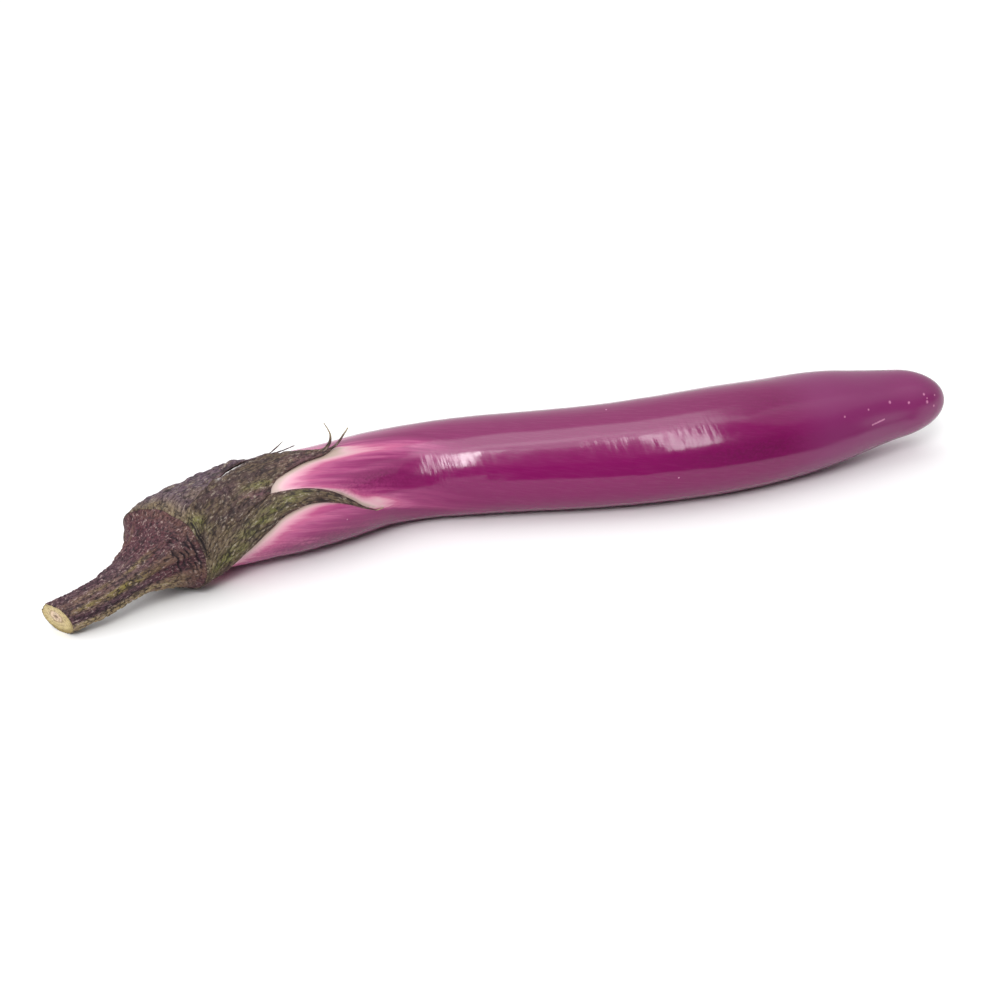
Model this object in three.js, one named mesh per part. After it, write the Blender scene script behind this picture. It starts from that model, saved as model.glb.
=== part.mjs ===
// A long, slim eggplant as picked, lying on its side: the fruit, the calyx that
// clasps its head with pointed lobes, and the stem that flares into the calyx.
//
// Every surface point is given by three numbers: s, the distance along one centre
// line that runs from the stem's cut end to the blossom end; phi, the angle round
// that line (0 on top, 90 on the near side, 180 underneath); and a radius.
// Millimetres and degrees, +Z up, +X from the stem towards the blossom end.

import * as THREE from 'three';

// ---- Driving dimensions ----

// Centre line as [x, y, height].
const CENTRE_LINE = [
  [-182.3, -30.7, 4.4],
  [-162.3, -29.5, 9.7],
  [-146.8, -23.9, 14.1],
  [-130, -13.7, 17.4],
  [-114.5, -8.8, 17.8],
  [-100, -7, 18.1],
  [-85, -5.8, 18.6],
  [-67, -2.3, 17.9],
  [-48, 2, 17.5],
  [-28.5, 2, 17.1],
  [-10, -4.3, 18.1],
  [11, -11.7, 18.6],
  [32.5, -18.4, 19],
  [54, -23.4, 19.6],
  [78, -25.8, 19.7],
  [104, -25.7, 19.2],
  [130, -25.1, 19.4],
  [153.5, -25.3, 19.5],
  [175.8, -28.6, 19.9],
];

// Middle of the box round the whole eggplant, in the centre line's coordinates.
const PLAN_MIDDLE = { x: -2.7, y: -13 };

// Radius of the fruit as [s, radius]: a narrow head inside the calyx, then a slim neck.
const FRUIT_RADIUS = [
  [47, 12.6],
  [65, 15],
  [80, 16.4],
  [93, 17.1],
  [105, 17.8],
  [129, 17.6],
  [145, 17.3],
  [173, 17.9],
  [207, 18.5],
  [247, 19.6],
  [265, 20.1],
  [281, 20],
  [296, 19.5],
  [310, 18.8],
  [322, 17.6],
  [334, 15.6],
  [346, 13.9],
  [358, 14],
  [370, 14.2],
];
const FRUIT_HEAD = 47;
const HEAD_ROUNDING = 10;
const HEAD_POWER = 2.4;
const TIP_LENGTH = 30;
const TIP_POWER = 2.3;

// Radius of the stem as [s, radius], from its cut end to the ring where it meets the calyx.
const STEM_RADIUS = [
  [0, 5.8],
  [15, 6],
  [25, 6.4],
  [32, 7.1],
  [38, 8.8],
  [43, 11.1],
  [48, 14.6],
  [51, 17.4],
];
const STEM_CUT = { s: 5, slant: 3, lowSide: 100 };
const FLARE_START = 25;
const RING = { s: 51, lean: 2, leanSide: 130, leanEnds: 72, shapeEnds: 85 };

// The ring is a soft pentagon: its radius as [phi, share of the round radius].
const RING_SHAPE = [
  [-50, 0.94],
  [-15, 0.95],
  [20, 1],
  [55, 1.02],
  [90, 0.99],
  [130, 1.04],
  [165, 0.88],
  [195, 0.86],
  [230, 0.9],
  [270, 0.79],
];
const STEM_RIDGES = { count: 5, share: 0.035, first: 130 };

// A fleshy keel runs along the low side of the stem as it widens towards the ring.
const KEEL = { phi: 145, halfWidth: 22, height: 1.6, rise: [34, 42], fall: [47, 52] };

// The calyx stands off the fruit at its ring and lies on it further along.
const CALYX_CLEARANCE = [
  [51, 2.6],
  [60, 1.4],
  [70, 0.6],
  [85, 0.3],
];
const CALYX_THICKNESS = [
  [51, 2.2],
  [65, 1.7],
  [85, 1.1],
  [105, 0.9],
  [130, 0.8],
];
const LOBE_ARCH = 0.4;
const ARCH_WIDTH = 12;
const GROOVE_DEPTH = 0.25;
const MARGIN_DEPTH = 0.4;
const LEAST_THICKNESS = 0.65;

const GAP = 0.3;
const FRUIT_SEGMENTS = 36;
const FRUIT_RINGS = 51;
const STEM_SEGMENTS = 40;
const STEM_RINGS = 15;
const ROW_LENGTH = 2.8;
const ARC_PER_DEGREE = 0.3;

// Where neighbouring lobes part, clockwise from the underside: phi at the ring, the
// place of the notch or fork between them as [s, phi], and how much of a groove runs
// from the ring up to it.
const PARTINGS = [
  { ring: 165, notch: [62, 158], groove: 1 },
  { ring: 97, notch: [91.5, 47.5], groove: 1 },
  { ring: 70, notch: [115, 11], groove: 0 },
  { ring: 44, notch: [76, 5], groove: 1 },
  { ring: 5, notch: [98, -42], groove: 0 },
  { ring: -36, notch: [91, -84], groove: 1 },
  { ring: -112, notch: [75, -142], groove: 1 },
];

// The free edges of each lobe from its notches to its tip, as [s, phi, height off the
// fruit]. Two lobes are forked into a pair of tips that curl away from the fruit.
const LOBES = [
  {
    columns: 8,
    left: [[84, 210], [97, 199.5]],
    right: [[68, 175], [82, 186], [97, 196]],
  },
  {
    columns: 8,
    left: [[71.5, 126], [82, 100], [91.5, 79], [102.5, 69], [111.5, 75], [118.5, 83.5], [126, 95.5]],
    right: [[97, 49], [102.5, 51], [109.5, 59], [117.3, 75], [126, 93]],
  },
  {
    columns: 4,
    left: [[100.4, 30], [106.5, 22], [114.2, 15.3], [119.5, 9, 0.1], [122.5, 6.3, 0.8], [125.3, 6.3, 3.9],
      [127.3, 6.1, 6.3]],
    right: [[119, 6.5, 0.2], [122.2, 3.8, 0.8], [125.3, 3.8, 3.9], [127.3, 4, 6.3]],
  },
  {
    columns: 4,
    left: [[117.5, 7.3, 0.3], [119.3, 6.2, 2.2], [119.2, 6.2, 5.1], [117.8, 6.2, 7.7], [116, 6.1, 10.4]],
    right: [[82.4, -6, 0.3], [89.2, -12, 0.4], [94.5, -18, 0.2], [100, -17], [106.6, -9], [111.7, -0.5],
      [116.5, 3.2, 0.1], [119, 3.8, 2.2], [119.2, 3.8, 5.1], [117.8, 3.8, 7.7], [116, 3.9, 10.4]],
  },
  {
    columns: 4,
    left: [[82, -11, 1.4], [88.5, -18.5, 1.6], [94, -25, 0.8], [105, -28.5, 0.3], [111.8, -29, 1]],
    right: [[103, -34.5, 0.1], [107, -31.8, 0.3], [111.8, -31.2, 1]],
  },
  {
    columns: 4,
    left: [[102, -42.5, 0.7], [106, -43.5, 2.1], [111, -44, 4.6]],
    right: [[95, -68], [99, -52, 0.5], [103, -47, 1.3], [106.5, -46.2, 2.5], [111, -46.2, 4.6]],
  },
  {
    columns: 8,
    left: [[99, -102], [106, -119], [113, -133.5, 0.4]],
    right: [[85, -145], [97, -143], [107, -138], [113, -136, 0.4]],
  },
];

// ---- Helpers ----

const radians = (degrees) => (degrees * Math.PI) / 180;
const mix = (a, b, share) => a + (b - a) * share;
const smooth = (low, high, value) => THREE.MathUtils.smoothstep(value, low, high);

// A smooth function through [position, value] keys, level outside them.
function through(keys) {
  const slopes = keys.map((_, i) => {
    const before = keys[Math.max(i - 1, 0)];
    const after = keys[Math.min(i + 1, keys.length - 1)];
    return (after[1] - before[1]) / (after[0] - before[0]);
  });
  return (position) => {
    const p = THREE.MathUtils.clamp(position, keys[0][0], keys.at(-1)[0]);
    const i = Math.max(keys.findLastIndex((key, k) => key[0] <= p && k < keys.length - 1), 0);
    const span = keys[i + 1][0] - keys[i][0];
    const t = (p - keys[i][0]) / span;
    return (
      (2 * t ** 3 - 3 * t ** 2 + 1) * keys[i][1] +
      (t ** 3 - 2 * t ** 2 + t) * span * slopes[i] +
      (3 * t ** 2 - 2 * t ** 3) * keys[i + 1][1] +
      (t ** 3 - t ** 2) * span * slopes[i + 1]
    );
  };
}

// The same round the whole circle.
function around(keys) {
  const turns = [-360, 0, 360].flatMap((turn) => keys.map(([phi, value]) => [phi + turn, value]));
  return through(turns);
}

const centreLine = new THREE.CatmullRomCurve3(
  CENTRE_LINE.map(([x, y, z]) => new THREE.Vector3(x, y, z)),
  false,
  'centripetal',
);
centreLine.arcLengthDivisions = 2000;
const LENGTH = centreLine.getLength();

// The point at s, phi and radius, never below the surface that the eggplant lies on.
function surfacePoint(s, phi, radius) {
  const along = THREE.MathUtils.clamp(s / LENGTH, 0, 1);
  const centre = centreLine.getPointAt(along);
  const tangent = centreLine.getTangentAt(along);
  const side = new THREE.Vector3().crossVectors(tangent, new THREE.Vector3(0, 0, 1)).normalize();
  const up = new THREE.Vector3().crossVectors(side, tangent);
  const point = centre
    .addScaledVector(up, radius * Math.cos(radians(phi)))
    .addScaledVector(side, radius * Math.sin(radians(phi)));
  point.z = Math.max(point.z, 0);
  return point;
}

const fruitRadius = through(FRUIT_RADIUS);
const stemRadius = through(STEM_RADIUS);
const ringShape = around(RING_SHAPE);
const clearance = through(CALYX_CLEARANCE);
const thickness = through(CALYX_THICKNESS);

// The ring leans over: one side of it is further along than the other.
function ringLean(s, phi) {
  const share = smooth(FLARE_START, RING.s, s) * (1 - smooth(RING.s, RING.leanEnds, s));
  return RING.lean * share * Math.cos(radians(phi - RING.leanSide));
}

// The ring's pentagon fades out both ways along the centre line.
function corner(s, phi) {
  const share = smooth(FLARE_START, RING.s, s) * (1 - smooth(RING.s, RING.shapeEnds, s));
  return mix(1, ringShape(phi), share);
}

// A closed solid through rings of points, closed by a single point at each end.
function loft(start, rings, end) {
  const count = rings[0].length;
  const points = [start, ...rings.flat(), end];
  const last = points.length - 1;
  const indices = [];
  const vertex = (ring, k) => 1 + ring * count + (k % count);
  for (let k = 0; k < count; k += 1) {
    indices.push(0, vertex(0, k + 1), vertex(0, k));
    indices.push(last, vertex(rings.length - 1, k), vertex(rings.length - 1, k + 1));
  }
  for (let ring = 0; ring < rings.length - 1; ring += 1) {
    for (let k = 0; k < count; k += 1) {
      const [a, b] = [vertex(ring, k), vertex(ring, k + 1)];
      const [c, d] = [vertex(ring + 1, k), vertex(ring + 1, k + 1)];
      indices.push(a, b, c, b, d, c);
    }
  }
  return solidGeometry(points, indices);
}

function solidGeometry(points, indices) {
  const geometry = new THREE.BufferGeometry().setFromPoints(points);
  geometry.setIndex(indices);
  geometry.computeVertexNormals();
  return geometry;
}

const ringAngles = (count) => Array.from({ length: count }, (_, k) => (360 * k) / count);

// ---- Fruit ----

const HEAD_END = FRUIT_HEAD + HEAD_ROUNDING;
const TIP_START = LENGTH - TIP_LENGTH;

// Radius at s, with the domed head under the calyx and the long blunt tip.
function fruitSkin(s) {
  if (s < HEAD_END) {
    const depth = (HEAD_END - s) / HEAD_ROUNDING;
    return fruitRadius(s) * Math.sqrt(Math.max(1 - depth ** HEAD_POWER, 0));
  }
  if (s > TIP_START) {
    const depth = (s - TIP_START) / TIP_LENGTH;
    return fruitRadius(s) * Math.sqrt(Math.max(1 - depth ** TIP_POWER, 0));
  }
  return fruitRadius(s);
}

function fruitGeometry() {
  const head = [0.97, 0.88, 0.74, 0.55, 0.3].map((depth) => HEAD_END - depth * HEAD_ROUNDING);
  const body = Array.from({ length: FRUIT_RINGS }, (_, i) => mix(HEAD_END, TIP_START, i / FRUIT_RINGS));
  const tip = [0, 0.1, 0.2, 0.3, 0.4, 0.5, 0.6, 0.69, 0.77, 0.84, 0.9, 0.945, 0.975, 0.993];
  const stations = [...head, ...body, ...tip.map((depth) => TIP_START + depth * TIP_LENGTH)];
  const rings = stations.map((s) =>
    ringAngles(FRUIT_SEGMENTS).map((phi) => surfacePoint(s, phi, fruitSkin(s))),
  );
  return loft(surfacePoint(FRUIT_HEAD, 0, 0), rings, surfacePoint(LENGTH, 0, 0));
}

// ---- Stem ----

const stemRidges = (phi) => Math.cos(radians(STEM_RIDGES.count * (phi - STEM_RIDGES.first)));

function keel(s, phi) {
  const along = smooth(...KEEL.rise, s) * (1 - smooth(...KEEL.fall, s));
  return KEEL.height * along * Math.exp(-(((phi - KEEL.phi) / KEEL.halfWidth) ** 2));
}

function stemPoint(s, phi) {
  const ridge = 1 + STEM_RIDGES.share * stemRidges(phi) * (1 - smooth(FLARE_START, RING.s, s));
  const radius = stemRadius(s) * ridge * corner(s, phi) + keel(s, phi);
  return surfacePoint(s + ringLean(s, phi), phi, radius);
}

function stemGeometry() {
  const angles = ringAngles(STEM_SEGMENTS);
  const skin = Array.from({ length: STEM_RINGS + 1 }, (_, row) =>
    angles.map((phi) => {
      const cut = STEM_CUT.s + STEM_CUT.slant * Math.cos(radians(phi - STEM_CUT.lowSide));
      return stemPoint(mix(cut, RING.s, row / STEM_RINGS), phi);
    }),
  );
  // The underside: a rim as wide as the calyx is thick, then a hollow for the fruit's head.
  const rimRadius = fruitRadius(RING.s) + clearance(RING.s);
  const rim = angles.map((phi) =>
    surfacePoint(RING.s + ringLean(RING.s, phi), phi, rimRadius * corner(RING.s, phi)),
  );
  const hollow = [0.98, 0.86, 0.66, 0.4, 0.2].map((share) => {
    const depth = (1 - share ** 2) ** (1 / HEAD_POWER);
    const s = HEAD_END - depth * HEAD_ROUNDING;
    const lowered = Math.min(s - 2 * GAP, RING.s - 2 * GAP);
    return angles.map((phi) => surfacePoint(lowered, phi, share * fruitRadius(s)));
  });
  const cutCentre = surfacePoint(STEM_CUT.s, 0, 0);
  return loft(cutCentre, [...skin, rim, ...hollow], surfacePoint(FRUIT_HEAD - 2 * GAP, 0, 0));
}

// ---- Calyx ----

// Evenly spaced points on a smooth edge through the given [s, phi, height] keys.
function edgePoints(keys, count) {
  const curve = new THREE.CatmullRomCurve3(
    keys.map(([s, phi, height = 0]) => new THREE.Vector3(s, phi * ARC_PER_DEGREE, height)),
    false,
    'centripetal',
  );
  return curve
    .getSpacedPoints(count)
    .map((p) => ({ s: p.x, phi: p.y / ARC_PER_DEGREE, height: p.z }));
}

const edgeLength = (keys) =>
  keys.slice(1).reduce((sum, [s, phi, height = 0], i) => {
    const [s0, phi0, height0 = 0] = keys[i];
    return sum + Math.hypot(s - s0, (phi - phi0) * ARC_PER_DEGREE, height - height0);
  }, 0);

// One sheet of quads for the whole calyx. Neighbouring lobes share their points from the
// ring up to the notch between them, and past it each has a free edge of its own.
function calyxSheet() {
  const points = [];
  const faces = [];
  const seams = PARTINGS.map(({ ring, notch, groove }) => {
    const keys = [[RING.s + GAP, ring], notch];
    const rows = Math.round(edgeLength(keys) / ROW_LENGTH);
    return edgePoints(keys, rows).map((p, row) => {
      points.push({ ...p, thin: groove * GROOVE_DEPTH * smooth(0, 3, row) });
      return points.length - 1;
    });
  });
  LOBES.forEach(({ columns, left, right }, lobe) => {
    const turn = lobe === 0 ? 360 : 0;
    const leftSeam = seams[(lobe + seams.length - 1) % seams.length];
    const rightSeam = seams[lobe];
    const freeKeys = (seam, shift, keys) => {
      const { s, phi, height } = points[seam.at(-1)];
      return [[s, phi + shift, height], ...keys];
    };
    const leftKeys = freeKeys(leftSeam, turn, left);
    const rightKeys = freeKeys(rightSeam, 0, right);
    const freeRows = (edgeLength(leftKeys) + edgeLength(rightKeys)) / ROW_LENGTH;
    const rows = Math.round((leftSeam.length + rightSeam.length + freeRows) / 2);
    const side = (seam, shift, keys) => [
      ...seam.map((index) => ({ ...points[index], phi: points[index].phi + shift, index })),
      ...edgePoints(keys, rows - seam.length + 1)
        .slice(1)
        .map((p) => ({ ...p, thin: MARGIN_DEPTH })),
    ];
    const leftSide = side(leftSeam, turn, leftKeys);
    const rightSide = side(rightSeam, 0, rightKeys);
    const grid = leftSide.map((from, row) => {
      const to = rightSide[row];
      return Array.from({ length: columns + 1 }, (_, column) => {
        const end = column === 0 ? from : to;
        if ((column === 0 || column === columns) && end.index !== undefined) return end.index;
        const share = column / columns;
        const bulge = 4 * share * (1 - share);
        const width = Math.abs(from.phi - to.phi) * ARC_PER_DEGREE;
        const arch = LOBE_ARCH * bulge * smooth(0, ARCH_WIDTH, width) * smooth(0, 4, row);
        points.push({
          s: mix(from.s, to.s, share),
          phi: mix(from.phi, to.phi, share),
          height: mix(from.height, to.height, share) + arch,
          thin: mix(from.thin, to.thin, share) * (1 - bulge),
        });
        return points.length - 1;
      });
    });
    for (let row = 0; row < grid.length - 1; row += 1) {
      for (let column = 0; column < columns; column += 1) {
        const [a, b] = [grid[row][column], grid[row][column + 1]];
        const [c, d] = [grid[row + 1][column], grid[row + 1][column + 1]];
        faces.push([a, d, b], [a, c, d]);
      }
    }
  });
  return { points, faces };
}

// Gives a sheet its thickness, half on each side, and closes it along its open edges.
function thickened(points, halves, faces) {
  const sheet = solidGeometry(points, faces.flat());
  const normals = sheet.getAttribute('normal');
  const offset = (sign) =>
    points.map((point, i) => {
      const normal = new THREE.Vector3().fromBufferAttribute(normals, i);
      const moved = point.clone().addScaledVector(normal, sign * halves[i]);
      moved.z = Math.max(moved.z, 0);
      return moved;
    });
  const count = points.length;
  const indices = faces.flatMap(([a, b, c]) => [a, b, c, a + count, c + count, b + count]);
  const edges = faces.flatMap(([a, b, c]) => [[a, b], [b, c], [c, a]]);
  const known = new Set(edges.map(([a, b]) => `${a}:${b}`));
  edges
    .filter(([a, b]) => !known.has(`${b}:${a}`))
    .forEach(([a, b]) => indices.push(b, a, a + count, b, a + count, b + count));
  return solidGeometry([...offset(1), ...offset(-1)], indices);
}

function calyxGeometry() {
  const { points, faces } = calyxSheet();
  const thick = points.map(({ s, thin }) => Math.max(thickness(s) * (1 - thin), LEAST_THICKNESS));
  const middle = points.map(({ s, phi, height }, i) => {
    const radius = (fruitRadius(s) + clearance(s) + thickness(s) / 2) * corner(s, phi);
    const lowest = fruitRadius(s) + GAP + thick[i] / 2;
    return surfacePoint(s + ringLean(s, phi), phi, Math.max(radius, lowest) + height);
  });
  return thickened(middle, thick.map((t) => t / 2), faces);
}

// ---- Scene ----

function piece(name, geometry, color, roughness) {
  const material = new THREE.MeshStandardMaterial({ color, roughness, metalness: 0 });
  const mesh = new THREE.Mesh(geometry, material);
  mesh.name = name;
  return mesh;
}

const eggplant = new THREE.Group();
eggplant.add(
  piece('fruit', fruitGeometry(), 0x8b2a6b, 0.3),
  piece('calyx', calyxGeometry(), 0x5a4c42, 0.85),
  piece('stem', stemGeometry(), 0x5b4448, 0.8),
);
eggplant.position.set(-PLAN_MIDDLE.x, -PLAN_MIDDLE.y, 0);

export default eggplant;
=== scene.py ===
# %% [markdown]
# # A long eggplant
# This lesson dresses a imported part, a slim purple eggplant lying on its side, with skin, calyx
# and stem that can be looked at closely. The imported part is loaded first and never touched: it
# fixes the size and the place of everything, and three finer pieces are then built over its
# three solids from the same measurements.

import math
from collections import namedtuple

import bpy
import numpy as np
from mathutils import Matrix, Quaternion, Vector, kdtree, noise


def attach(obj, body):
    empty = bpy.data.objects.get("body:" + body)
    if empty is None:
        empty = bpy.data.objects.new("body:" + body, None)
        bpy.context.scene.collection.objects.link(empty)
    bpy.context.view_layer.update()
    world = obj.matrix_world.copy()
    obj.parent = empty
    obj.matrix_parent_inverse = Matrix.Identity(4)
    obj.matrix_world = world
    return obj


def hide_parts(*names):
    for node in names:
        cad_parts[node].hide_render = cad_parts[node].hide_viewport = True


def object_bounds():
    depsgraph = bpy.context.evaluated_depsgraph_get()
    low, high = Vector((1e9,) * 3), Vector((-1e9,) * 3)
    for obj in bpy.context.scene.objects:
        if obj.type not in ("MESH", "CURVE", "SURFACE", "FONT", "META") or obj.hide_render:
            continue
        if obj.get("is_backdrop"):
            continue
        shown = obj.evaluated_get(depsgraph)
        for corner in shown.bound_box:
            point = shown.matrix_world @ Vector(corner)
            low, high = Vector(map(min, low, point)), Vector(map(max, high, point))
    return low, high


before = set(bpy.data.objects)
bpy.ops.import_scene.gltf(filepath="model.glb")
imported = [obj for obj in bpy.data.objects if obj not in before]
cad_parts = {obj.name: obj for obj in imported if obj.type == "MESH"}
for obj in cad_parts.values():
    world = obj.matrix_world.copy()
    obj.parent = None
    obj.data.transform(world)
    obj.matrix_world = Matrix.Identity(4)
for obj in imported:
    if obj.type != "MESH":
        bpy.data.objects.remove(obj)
cad_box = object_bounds()
print("nodes:", sorted(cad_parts))

# %% [markdown]
# ## The centre line
# Every point of the eggplant is given by its distance s along one curved centre line, from the
# cut end of the stem to the blossom end, by the angle phi round that line (0 on top, 90 on the
# near side, 180 underneath) and by a radius. Straightened out in this way, a bent fruit is as
# easy to shape and to paint as a straight one. The line could be a Blender curve object, but a
# few lines of array code give thousands of its points at once.

# %% Centre line
MM = 0.001
PART_SHIFT = np.array([2.7, 13.0, 0.0])
CENTRE_LINE = [
    (-182.3, -30.7, 4.4), (-162.3, -29.5, 9.7), (-146.8, -23.9, 14.1), (-130, -13.7, 17.4),
    (-114.5, -8.8, 17.8), (-100, -7, 18.1), (-85, -5.8, 18.6), (-67, -2.3, 17.9), (-48, 2, 17.5),
    (-28.5, 2, 17.1), (-10, -4.3, 18.1), (11, -11.7, 18.6), (32.5, -18.4, 19), (54, -23.4, 19.6),
    (78, -25.8, 19.7), (104, -25.7, 19.2), (130, -25.1, 19.4), (153.5, -25.3, 19.5),
    (175.8, -28.6, 19.9),
]
SMALLEST = 1e-4
MIDDLE_STEPS = 100


def smooth_line(keys, steps):
    """A centripetal Catmull-Rom curve through keys, with so many points from key to key."""
    keys = [np.array(key, float) for key in keys]
    keys = [2 * keys[0] - keys[1], *keys, 2 * keys[-1] - keys[-2]]
    share = (np.arange(steps) / steps)[:, None]
    stretches = []
    for before, start, end, after in zip(keys, keys[1:], keys[2:], keys[3:]):
        gaps = [(before, start), (start, end), (end, after)]
        g0, g1, g2 = [max(math.sqrt(np.linalg.norm(b - a)), SMALLEST) for a, b in gaps]
        leave = ((start - before) / g0 - (end - before) / (g0 + g1)) * g1 + end - start
        arrive = ((after - end) / g2 - (after - start) / (g1 + g2)) * g1 + end - start
        square = 3 * (end - start) - 2 * leave - arrive
        cube = 2 * (start - end) + leave + arrive
        stretches.append(start + leave * share + square * share**2 + cube * share**3)
    return np.concatenate([*stretches, keys[-2][None]])


def distances_along(line):
    return np.r_[0, np.cumsum(np.linalg.norm(np.diff(line, axis=0), axis=1))]


middle = smooth_line(CENTRE_LINE, MIDDLE_STEPS)
middle_s = distances_along(middle)
LENGTH = middle_s[-1]
print(f"the centre line is {LENGTH:.1f} mm long")

# %% Points round the centre line
NUDGE = 0.3


def on_middle(s):
    return np.stack([np.interp(s, middle_s, middle[:, axis]) for axis in range(3)], -1)


def directions(s):
    """Along the line, sideways (towards the near side) and up, at each s."""
    before, after = np.clip(s - NUDGE, 0, LENGTH), np.clip(s + NUDGE, 0, LENGTH)
    along = on_middle(after) - on_middle(before)
    along /= np.linalg.norm(along, axis=-1, keepdims=True)
    side = np.cross(along, (0, 0, 1))
    side /= np.linalg.norm(side, axis=-1, keepdims=True)
    return along, side, np.cross(side, along)


def surface_point(s, phi, radius):
    """Points in millimetres, never below the surface that the eggplant lies on."""
    along, side, up = directions(np.clip(s, 0, LENGTH))
    turn = np.radians(phi)[..., None]
    point = on_middle(np.clip(s, 0, LENGTH)) + PART_SHIFT
    point += np.asarray(radius)[..., None] * (np.cos(turn) * up + np.sin(turn) * side)
    point[..., 2] = np.maximum(point[..., 2], 0)
    return point


def on_axis(s):
    """A point on the centre line itself, and the direction along the line there."""
    s = np.array([s])
    return surface_point(s, np.zeros(1), np.zeros(1))[0], directions(s)[0][0]


# %% Smooth numbers
def through(keys):
    """A smooth function through (place, value) keys, level outside them."""
    place, value = np.array(keys, float).T
    low, high = np.r_[0, 0 : len(place) - 1], np.r_[1 : len(place), len(place) - 1]
    slope = (value[high] - value[low]) / (place[high] - place[low])

    def at(x):
        x = np.clip(x, place[0], place[-1])
        i = np.clip(np.searchsorted(place, x, side="right") - 1, 0, len(place) - 2)
        span = place[i + 1] - place[i]
        t = (x - place[i]) / span
        return (
            (2 * t**3 - 3 * t**2 + 1) * value[i]
            + (t**3 - 2 * t**2 + t) * span * slope[i]
            + (3 * t**2 - 2 * t**3) * value[i + 1]
            + (t**3 - t**2) * span * slope[i + 1]
        )

    return at


def around(keys):
    """The same round the whole circle."""
    return through([(phi + turn, value) for turn in (-360, 0, 360) for phi, value in keys])


def smooth(low, high, x):
    t = np.clip((x - low) / (high - low), 0, 1)
    return t * t * (3 - 2 * t)


def plateau(rise, fall, x):
    """Rises from 0 to 1 over the first span, and falls back over the second."""
    return smooth(*rise, x) * (1 - smooth(*fall, x))


def bell(x, centre, width):
    return np.exp(-(((x - centre) / width) ** 2))


def mix(a, b, share):
    return a + (b - a) * share


# %% Roughness in millimetres
Wave = namedtuple("Wave", "lengths seed depth")
SEED_SHIFT = 17.3
KNOB_SLOPE = 2.4


def straightened(s, phi, radius):
    """The place of a point as if the centre line were straight."""
    turn = np.radians(phi)
    return np.stack([s, radius * np.cos(turn), radius * np.sin(turn)], -1)


def ripple(places, wave):
    """Soft noise from -1 to 1 at places in millimetres, with waves of those lengths."""
    scaled = places / np.array(wave.lengths) + wave.seed * SEED_SHIFT
    return np.array([noise.noise(place) for place in scaled.tolist()])


def knobs(places, wave):
    """Round bumps from 0 in the narrow creases between them to 1 on top."""
    return np.minimum(np.abs(ripple(places, wave)) * KNOB_SLOPE, 1)


# %% [markdown]
# ## Camera
# A long lens from some distance keeps the perspective calm. The camera looks down on the
# eggplant by 25 degrees, from the side and a little towards the stem.

# %% Camera
LOOK_AT = Vector((0.0027, 0.013, 0))
CAMERA_AZIMUTH = math.radians(-26)
CAMERA_ELEVATION = math.radians(25)
CAMERA_DISTANCE = 0.907
LENS = 88.2
SENSOR = 36
FARTHEST = 50


def direction(azimuth, elevation):
    """Towards a place in the room: azimuth 0 is the near side, and 90 is towards +X."""
    flat = math.cos(elevation)
    return Vector((math.sin(azimuth) * flat, -math.cos(azimuth) * flat, math.sin(elevation)))


def new_object(name, data):
    thing = bpy.data.objects.new(name, data)
    bpy.context.scene.collection.objects.link(thing)
    return thing


def aim(thing, towards, distance, lean=0.0):
    """Sets a camera or lamp at a distance from the eggplant, and turns it to face it."""
    thing.location = LOOK_AT + towards * distance
    thing.rotation_mode = "QUATERNION"
    facing_in = (-towards).to_track_quat("-Z", "Y")
    thing.rotation_quaternion = facing_in @ Quaternion((0, 0, 1), math.radians(lean))


camera = new_object("camera", bpy.data.cameras.new("camera"))
camera.data.lens = LENS
camera.data.sensor_width = SENSOR
camera.data.clip_end = FARTHEST
aim(camera, direction(CAMERA_AZIMUTH, CAMERA_ELEVATION), CAMERA_DISTANCE)
bpy.context.scene.camera = camera
bpy.context.scene.view_settings.view_transform = "Standard"
print("camera at", [round(x, 3) for x in camera.location])

# %% [markdown]
# ## Node helpers
# A material is a small network of nodes. These helpers keep each finish to a few readable
# lines: one adds any node, and the others add the kinds used most.

# %% Node helpers
def add(tree, kind, inputs, output=0, **settings):
    """Adds a node, sets or links its inputs, and gives back one of its outputs."""
    node = tree.nodes.new("ShaderNode" + kind)
    for name, value in settings.items():
        setattr(node, name, value)
    for socket, value in inputs.items():
        if isinstance(value, bpy.types.NodeSocket):
            tree.links.new(value, node.inputs[socket])
        else:
            node.inputs[socket].default_value = value
    return node.outputs[output]


def calculate(tree, operation, a, b):
    return add(tree, "Math", {0: a, 1: b}, operation=operation)


def times(tree, a, b):
    return calculate(tree, "MULTIPLY", a, b)


def stretched(tree, vector, factors):
    return add(tree, "VectorMath", {0: vector, 1: factors}, operation="MULTIPLY")


def cloud(tree, vector, scale, detail=2.0, roughness=0.5):
    """Soft noise from 0 to 1."""
    inputs = {"Vector": vector, "Scale": scale, "Detail": detail, "Roughness": roughness}
    return add(tree, "TexNoise", inputs)


def streaks(tree, vector, along, scale, detail, roughness):
    """Soft noise drawn out along the first axis, the more so the smaller along is."""
    return cloud(tree, stretched(tree, vector, (along, 1, 1)), scale, detail, roughness)


def between(tree, value, low, high, to_low=0.0, to_high=1.0):
    """Remaps value from the span low to high, and holds it at the ends."""
    inputs = {"Value": value, "From Min": low, "From Max": high}
    inputs.update({"To Min": to_low, "To Max": to_high})
    return add(tree, "MapRange", inputs, interpolation_type="SMOOTHSTEP")


def opaque(colour):
    return (*colour, 1.0) if isinstance(colour, tuple) else colour


def blend_colours(tree, share, below, above):
    inputs = {0: share, 6: opaque(below), 7: opaque(above)}
    return add(tree, "Mix", inputs, output=2, data_type="RGBA")


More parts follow.
